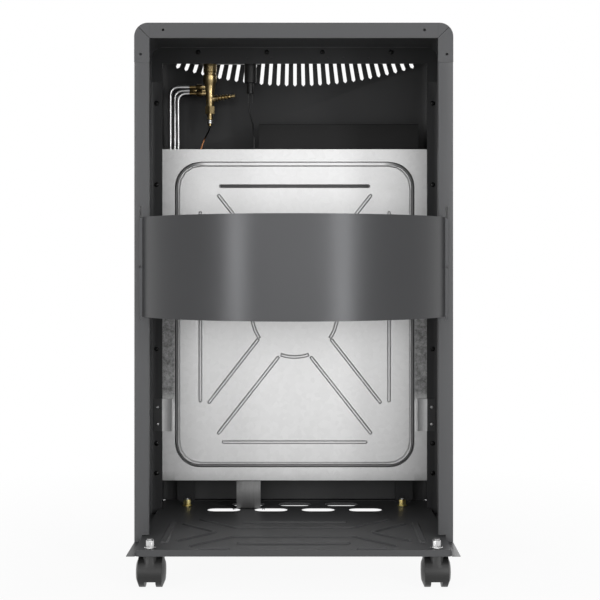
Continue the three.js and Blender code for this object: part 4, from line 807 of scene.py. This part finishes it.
def add_screws(finishes):
    heads = screw_tree()

    def screws(name, places, slot, **values):
        grown(name, heads, points_mesh(name, places), "cabinet", slot, **values)

    dark = facing_rear(STRIP_SCREWS, FLANGE_Y) + facing_rear(TOP_SCREWS, FLANGE_Y)
    screws("strip_screws", dark, "black_plastic", Radius=0.0036, Height=0.0022, Recess=0.0008,
           Material=finishes["black_zinc"])
    clips = facing_rear(CLIP_SCREWS, FLANGE_Y - CLIP_DEPTH)
    screws("clip_screws", clips, "chrome", Radius=0.0022, Height=0.0017, Recess=0.0006, Seed=11,
           Material=finishes["nickel"])
    foot = [((x, BRACKET_Y, FLOOR_Z), (0, 0, 1)) for x in BRACKET_SCREWS]
    screws("foot_screws", foot, "chrome", Radius=0.002, Height=0.0022, Recess=0.0006, Seed=5,
           Material=finishes["nickel"])


def add_valve_sleeve(finishes):
    """Nickel-plated sleeve nut at the valve's lower end: two rings on a sleeve."""
    bore, waist, girth = 0.00268, 0.0041, 0.0044
    rings = [(bore, 0), (waist, 0.0002), (girth, 0.0008), (girth, 0.0024), (waist, 0.0029),
             (girth, 0.0036), (girth, 0.0052), (waist, 0.0058), (bore, 0.006)]
    mesh = turned_mesh("valve_sleeve", [(*VALVE_AT, VALVE_FOOT)], rings, 48)
    add_piece("valve_sleeve", mesh, "cabinet", finishes["nickel"])


SEAM_STRIP_X = (PANEL_HIGH.x - 0.0212, PANEL_HIGH.x + 0.005)
SEAM_STRIP_Y = (PANEL_LOW.y - 0.0012, PANEL_LOW.y - 0.0007)
SEAM_STRIP_Z = (FLOOR_Z + 0.0015, PANEL_HIGH.z - 0.003)


def add_seam_strips(finishes):
    """Flat strips that close the seams of the lower panel from inside."""
    (near, far), (back, front) = SEAM_STRIP_X, SEAM_STRIP_Y
    ease = 0.0002
    section = [(near, front), (far, front), (far, back + ease), (far - ease, back),
               (near + ease, back), (near, back + ease)]
    for hand, side in (("left", -1), ("right", 1)):
        shape = bmesh.new()
        low, high = ([shape.verts.new((side * x, y, z)) for x, y in section]
                     for z in SEAM_STRIP_Z)
        shape.faces.new(low)
        shape.faces.new(high[::-1])
        for n in range(len(section)):
            shape.faces.new((low[n - 1], low[n], high[n], high[n - 1]))
        bmesh.ops.recalc_face_normals(shape, faces=shape.faces)
        mesh = bpy.data.meshes.new(f"seam_strip_{hand}")
        shape.to_mesh(mesh)
        shape.free()
        add_piece(f"seam_strip_{hand}", mesh, "cabinet",
                  finishes["casing_paint"])


SHARP_EDGE = math.radians(30)


def turned_mesh(name, places, rings, sides):
    """A closed ring-shaped mesh at each place.

    A ring is a (radius, height) pair, or a function of the angle that gives one.
    """
    shape = bmesh.new()
    turns = [2 * math.pi * n / sides for n in range(sides)]
    for x, y, z in places:
        made = []
        for ring in rings:
            spots = [ring(turn) if callable(ring) else ring for turn in turns]
            made.append([shape.verts.new((x + radius * math.cos(turn),
                                          y + radius * math.sin(turn), z + height))
                         for turn, (radius, height) in zip(turns, spots)])
        for near, far in zip(made, made[1:] + made[:1]):
            for n in range(sides):
                shape.faces.new((near[n - 1], near[n], far[n], far[n - 1]))
    bmesh.ops.recalc_face_normals(shape, faces=shape.faces)
    for face in shape.faces:
        face.smooth = True
    mesh = bpy.data.meshes.new(name)
    shape.to_mesh(mesh)
    shape.free()
    mesh.set_sharp_from_angle(angle=SHARP_EDGE)
    return mesh


NUT_BORE = 0.0043
NUT_FLANGE = (0.0076, 0.0014)   # radius and thickness
NUT_SIZE = (0.00485, 0.0082)    # from the middle to a flat, and height over the flange
NUT_EASE = 0.0004               # on the flange's edges
NUT_CHAMFER = 0.0005            # at the flange's and the bore's upper edges
NUT_CROWN = 0.985               # share of the flats' width that is flat on top


def nut_rings():
    """Hexagon nut with turned corners on a flange, from its bore round to its bore."""
    step = math.pi / 3
    washer, lift = NUT_FLANGE
    apothem, height = NUT_SIZE

    def flat(turn):
        return apothem / math.cos((turn + step / 2) % step - step / 2)

    level = lift + height
    crown = apothem * NUT_CROWN
    flange = [(NUT_BORE, 0.0), (washer - NUT_EASE, 0.0), (washer, NUT_EASE),
              (washer, lift - NUT_EASE), (washer - NUT_CHAMFER, lift)]
    hexagon = [lambda turn: (flat(turn), lift),
               lambda turn: (flat(turn), level - (flat(turn) - crown) * 0.58 - 0.0001),
               (crown, level)]
    bore = [(NUT_BORE + NUT_CHAMFER, level), (NUT_BORE, level - NUT_CHAMFER)]
    return flange + hexagon + bore


def add_nuts(finishes):
    """The nuts of the caster stems."""
    for end, finish in (("rear", "chrome"), ("front", "yellow_zinc")):
        places = [(*upright_axis(f"caster_nut_{end}_{hand}"), FLOOR_Z + GAP)
                  for hand in ("left", "right")]
        mesh = turned_mesh(f"{end}_stem_nuts", places, nut_rings(), 72)
        piece = add_piece(f"{end}_stem_nuts", mesh, "cabinet", finishes[finish])
        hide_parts(f"caster_nut_{end}_left", f"caster_nut_{end}_right")


def add_piece(name, mesh, body, finish):
    mesh.materials.append(finish)
    piece = bpy.data.objects.new(name, mesh)
    scene.collection.objects.link(piece)
    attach(piece, body)
    return piece


# ------------------------------------------------------------------ burner plaques

PLAQUE_PITCH = 0.0022           # from port to port
PLAQUE_MARGIN = 0.002           # least border without ports
PLAQUE_EASE = 0.0008            # on the front edges


def plaque_mesh(name, low, high):
    """A plaque's block with eased front edges and a grid of cells on its front face."""
    columns = int((high.x - low.x - 2 * PLAQUE_MARGIN) / PLAQUE_PITCH)
    rows = int((high.z - low.z - 2 * PLAQUE_MARGIN) / PLAQUE_PITCH)
    edge_x = (high.x - low.x - columns * PLAQUE_PITCH) / 2
    edge_z = (high.z - low.z - rows * PLAQUE_PITCH) / 2
    xs = [low.x + edge_x + n * PLAQUE_PITCH for n in range(columns + 1)]
    zs = [low.z + edge_z + n * PLAQUE_PITCH for n in range(rows + 1)]
    shape = bmesh.new()
    front = [[shape.verts.new((x, high.y, z)) for x in xs] for z in zs]
    for lower, upper in zip(front, front[1:]):
        for n in range(columns):
            shape.faces.new((lower[n + 1], lower[n], upper[n], upper[n + 1]))
    rim = front[0] + [row[-1] for row in front[1:]]
    rim += front[-1][-2::-1] + [row[0] for row in front[-2:0:-1]]

    def ring(inset, y):
        made = []
        for vert in rim:
            x = low.x + inset if vert.co.x < low.x + edge_x + 1e-6 else vert.co.x
            x = high.x - inset if vert.co.x > high.x - edge_x - 1e-6 else x
            z = low.z + inset if vert.co.z < low.z + edge_z + 1e-6 else vert.co.z
            z = high.z - inset if vert.co.z > high.z - edge_z - 1e-6 else z
            made.append(shape.verts.new((x, y, z)))
        return made

    rings = [rim, ring(PLAQUE_EASE, high.y), ring(0.0, high.y - PLAQUE_EASE), ring(0.0, low.y)]
    for near, far in zip(rings, rings[1:]):
        for n in range(len(rim)):
            after = (n + 1) % len(rim)
            shape.faces.new((near[n], near[after], far[after], far[n]))
    shape.faces.new(rings[-1])
    bmesh.ops.recalc_face_normals(shape, faces=shape.faces)
    mesh = bpy.data.meshes.new(name)
    shape.to_mesh(mesh)
    marks = mesh.attributes.new("cell", "BOOLEAN", "FACE")
    for n in range(rows * columns):
        marks.data[n].value = True
    shape.free()
    return mesh


def add_plaques(finishes):
    ports = port_tree()
    for number in (1, 2, 3):
        low, high = node_box(f"ceramic_plaque_{number}")
        name = f"ported_plaque_{number}"
        piece = grown(name, ports, plaque_mesh(name, low, high), "cabinet", "ceramic",
                      Material=finishes["ceramic"], Port_Material=finishes["port"])
        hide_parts(f"ceramic_plaque_{number}")


# ------------------------------------------------------------------ the scene


def make_finishes():
    """Every finish by the name that the pieces ask for."""
    return {
        "cabinet_paint": powder_coat(
            "cabinet_paint", level=82, roughness=0.42, specular=0.22,
            regions=((within_cabinet, 77), (rim_lip, 76), (on_flange, 44))),
        "pan_paint": powder_coat("pan_paint", level=70, roughness=0.42, specular=0.3),
        "casing_paint": powder_coat("casing_paint", level=90, roughness=0.42, specular=0.18,
                                    regions=((within_casing, 42),)),
        "strap_paint": powder_coat("strap_paint", level=72, roughness=0.33, specular=0.1,
                                   metal=0.6),
        "galvanised": galvanised_sheet(),
        "bracket": bright_sheet("bracket_zinc", level=108, roughness=0.4),
        "clip": bright_sheet("clip_sheet", level=215, roughness=0.34, painted=over_flange),
        "control_bracket": bright_sheet("control_bracket", level=225, roughness=0.5),
        "reflector": bright_sheet("reflector_sheet", level=205, roughness=0.2,
                                  direction=(1, 1, 0.02), stain=0.3),
        "burner_sheet": bright_sheet("burner_sheet", level=185, roughness=0.3),
        "probe": bright_sheet("probe_steel", level=150, roughness=0.3),
        "dark_sheet": dark_sheet(),
        "brass": brass(),
        "aluminium": drawn_aluminium(),
        "chrome": plated("bright_chrome", level=205, roughness=0.14),
        "black_zinc": plated("black_zinc", level=40, roughness=0.25),
        "nickel": plated("nickel", level=205, roughness=0.22),
        "yellow_zinc": yellow_zinc(),
        "ceramic": fired_ceramic("fired_ceramic", share=1.0),
        # darker ceramic for the ports' floors: painted shade
        "port": fired_ceramic("plaque_ports", share=0.3),
        "plastic": moulded_plastic("black_plastic", level=34, roughness=0.42),
        "knob_plastic": moulded_plastic("knob_plastic", level=32, roughness=0.4,
                                        painted=knob_pointer),
        "caster_plastic": moulded_plastic("caster_plastic", level=34, roughness=0.4,
                                          steel_above=FLOOR_Z - 0.001),
        "copper_lead": lead_sleeve("copper_lead", (0.5, 0.22, 0.1, 1), roughness=0.3,
                                   metallic=0.9, dark_above=HEATED_LEAD),
        "rubber_lead": lead_sleeve("rubber_lead", (0.02, 0.02, 0.021, 1), roughness=0.4),
    }


def main():
    add_camera()
    light_studio()
    add_stage()
    add_world()
    finishes = make_finishes()
    dress_nodes(finishes)
    add_screws(finishes)
    add_valve_sleeve(finishes)
    add_seam_strips(finishes)
    add_nuts(finishes)
    add_plaques(finishes)


main()
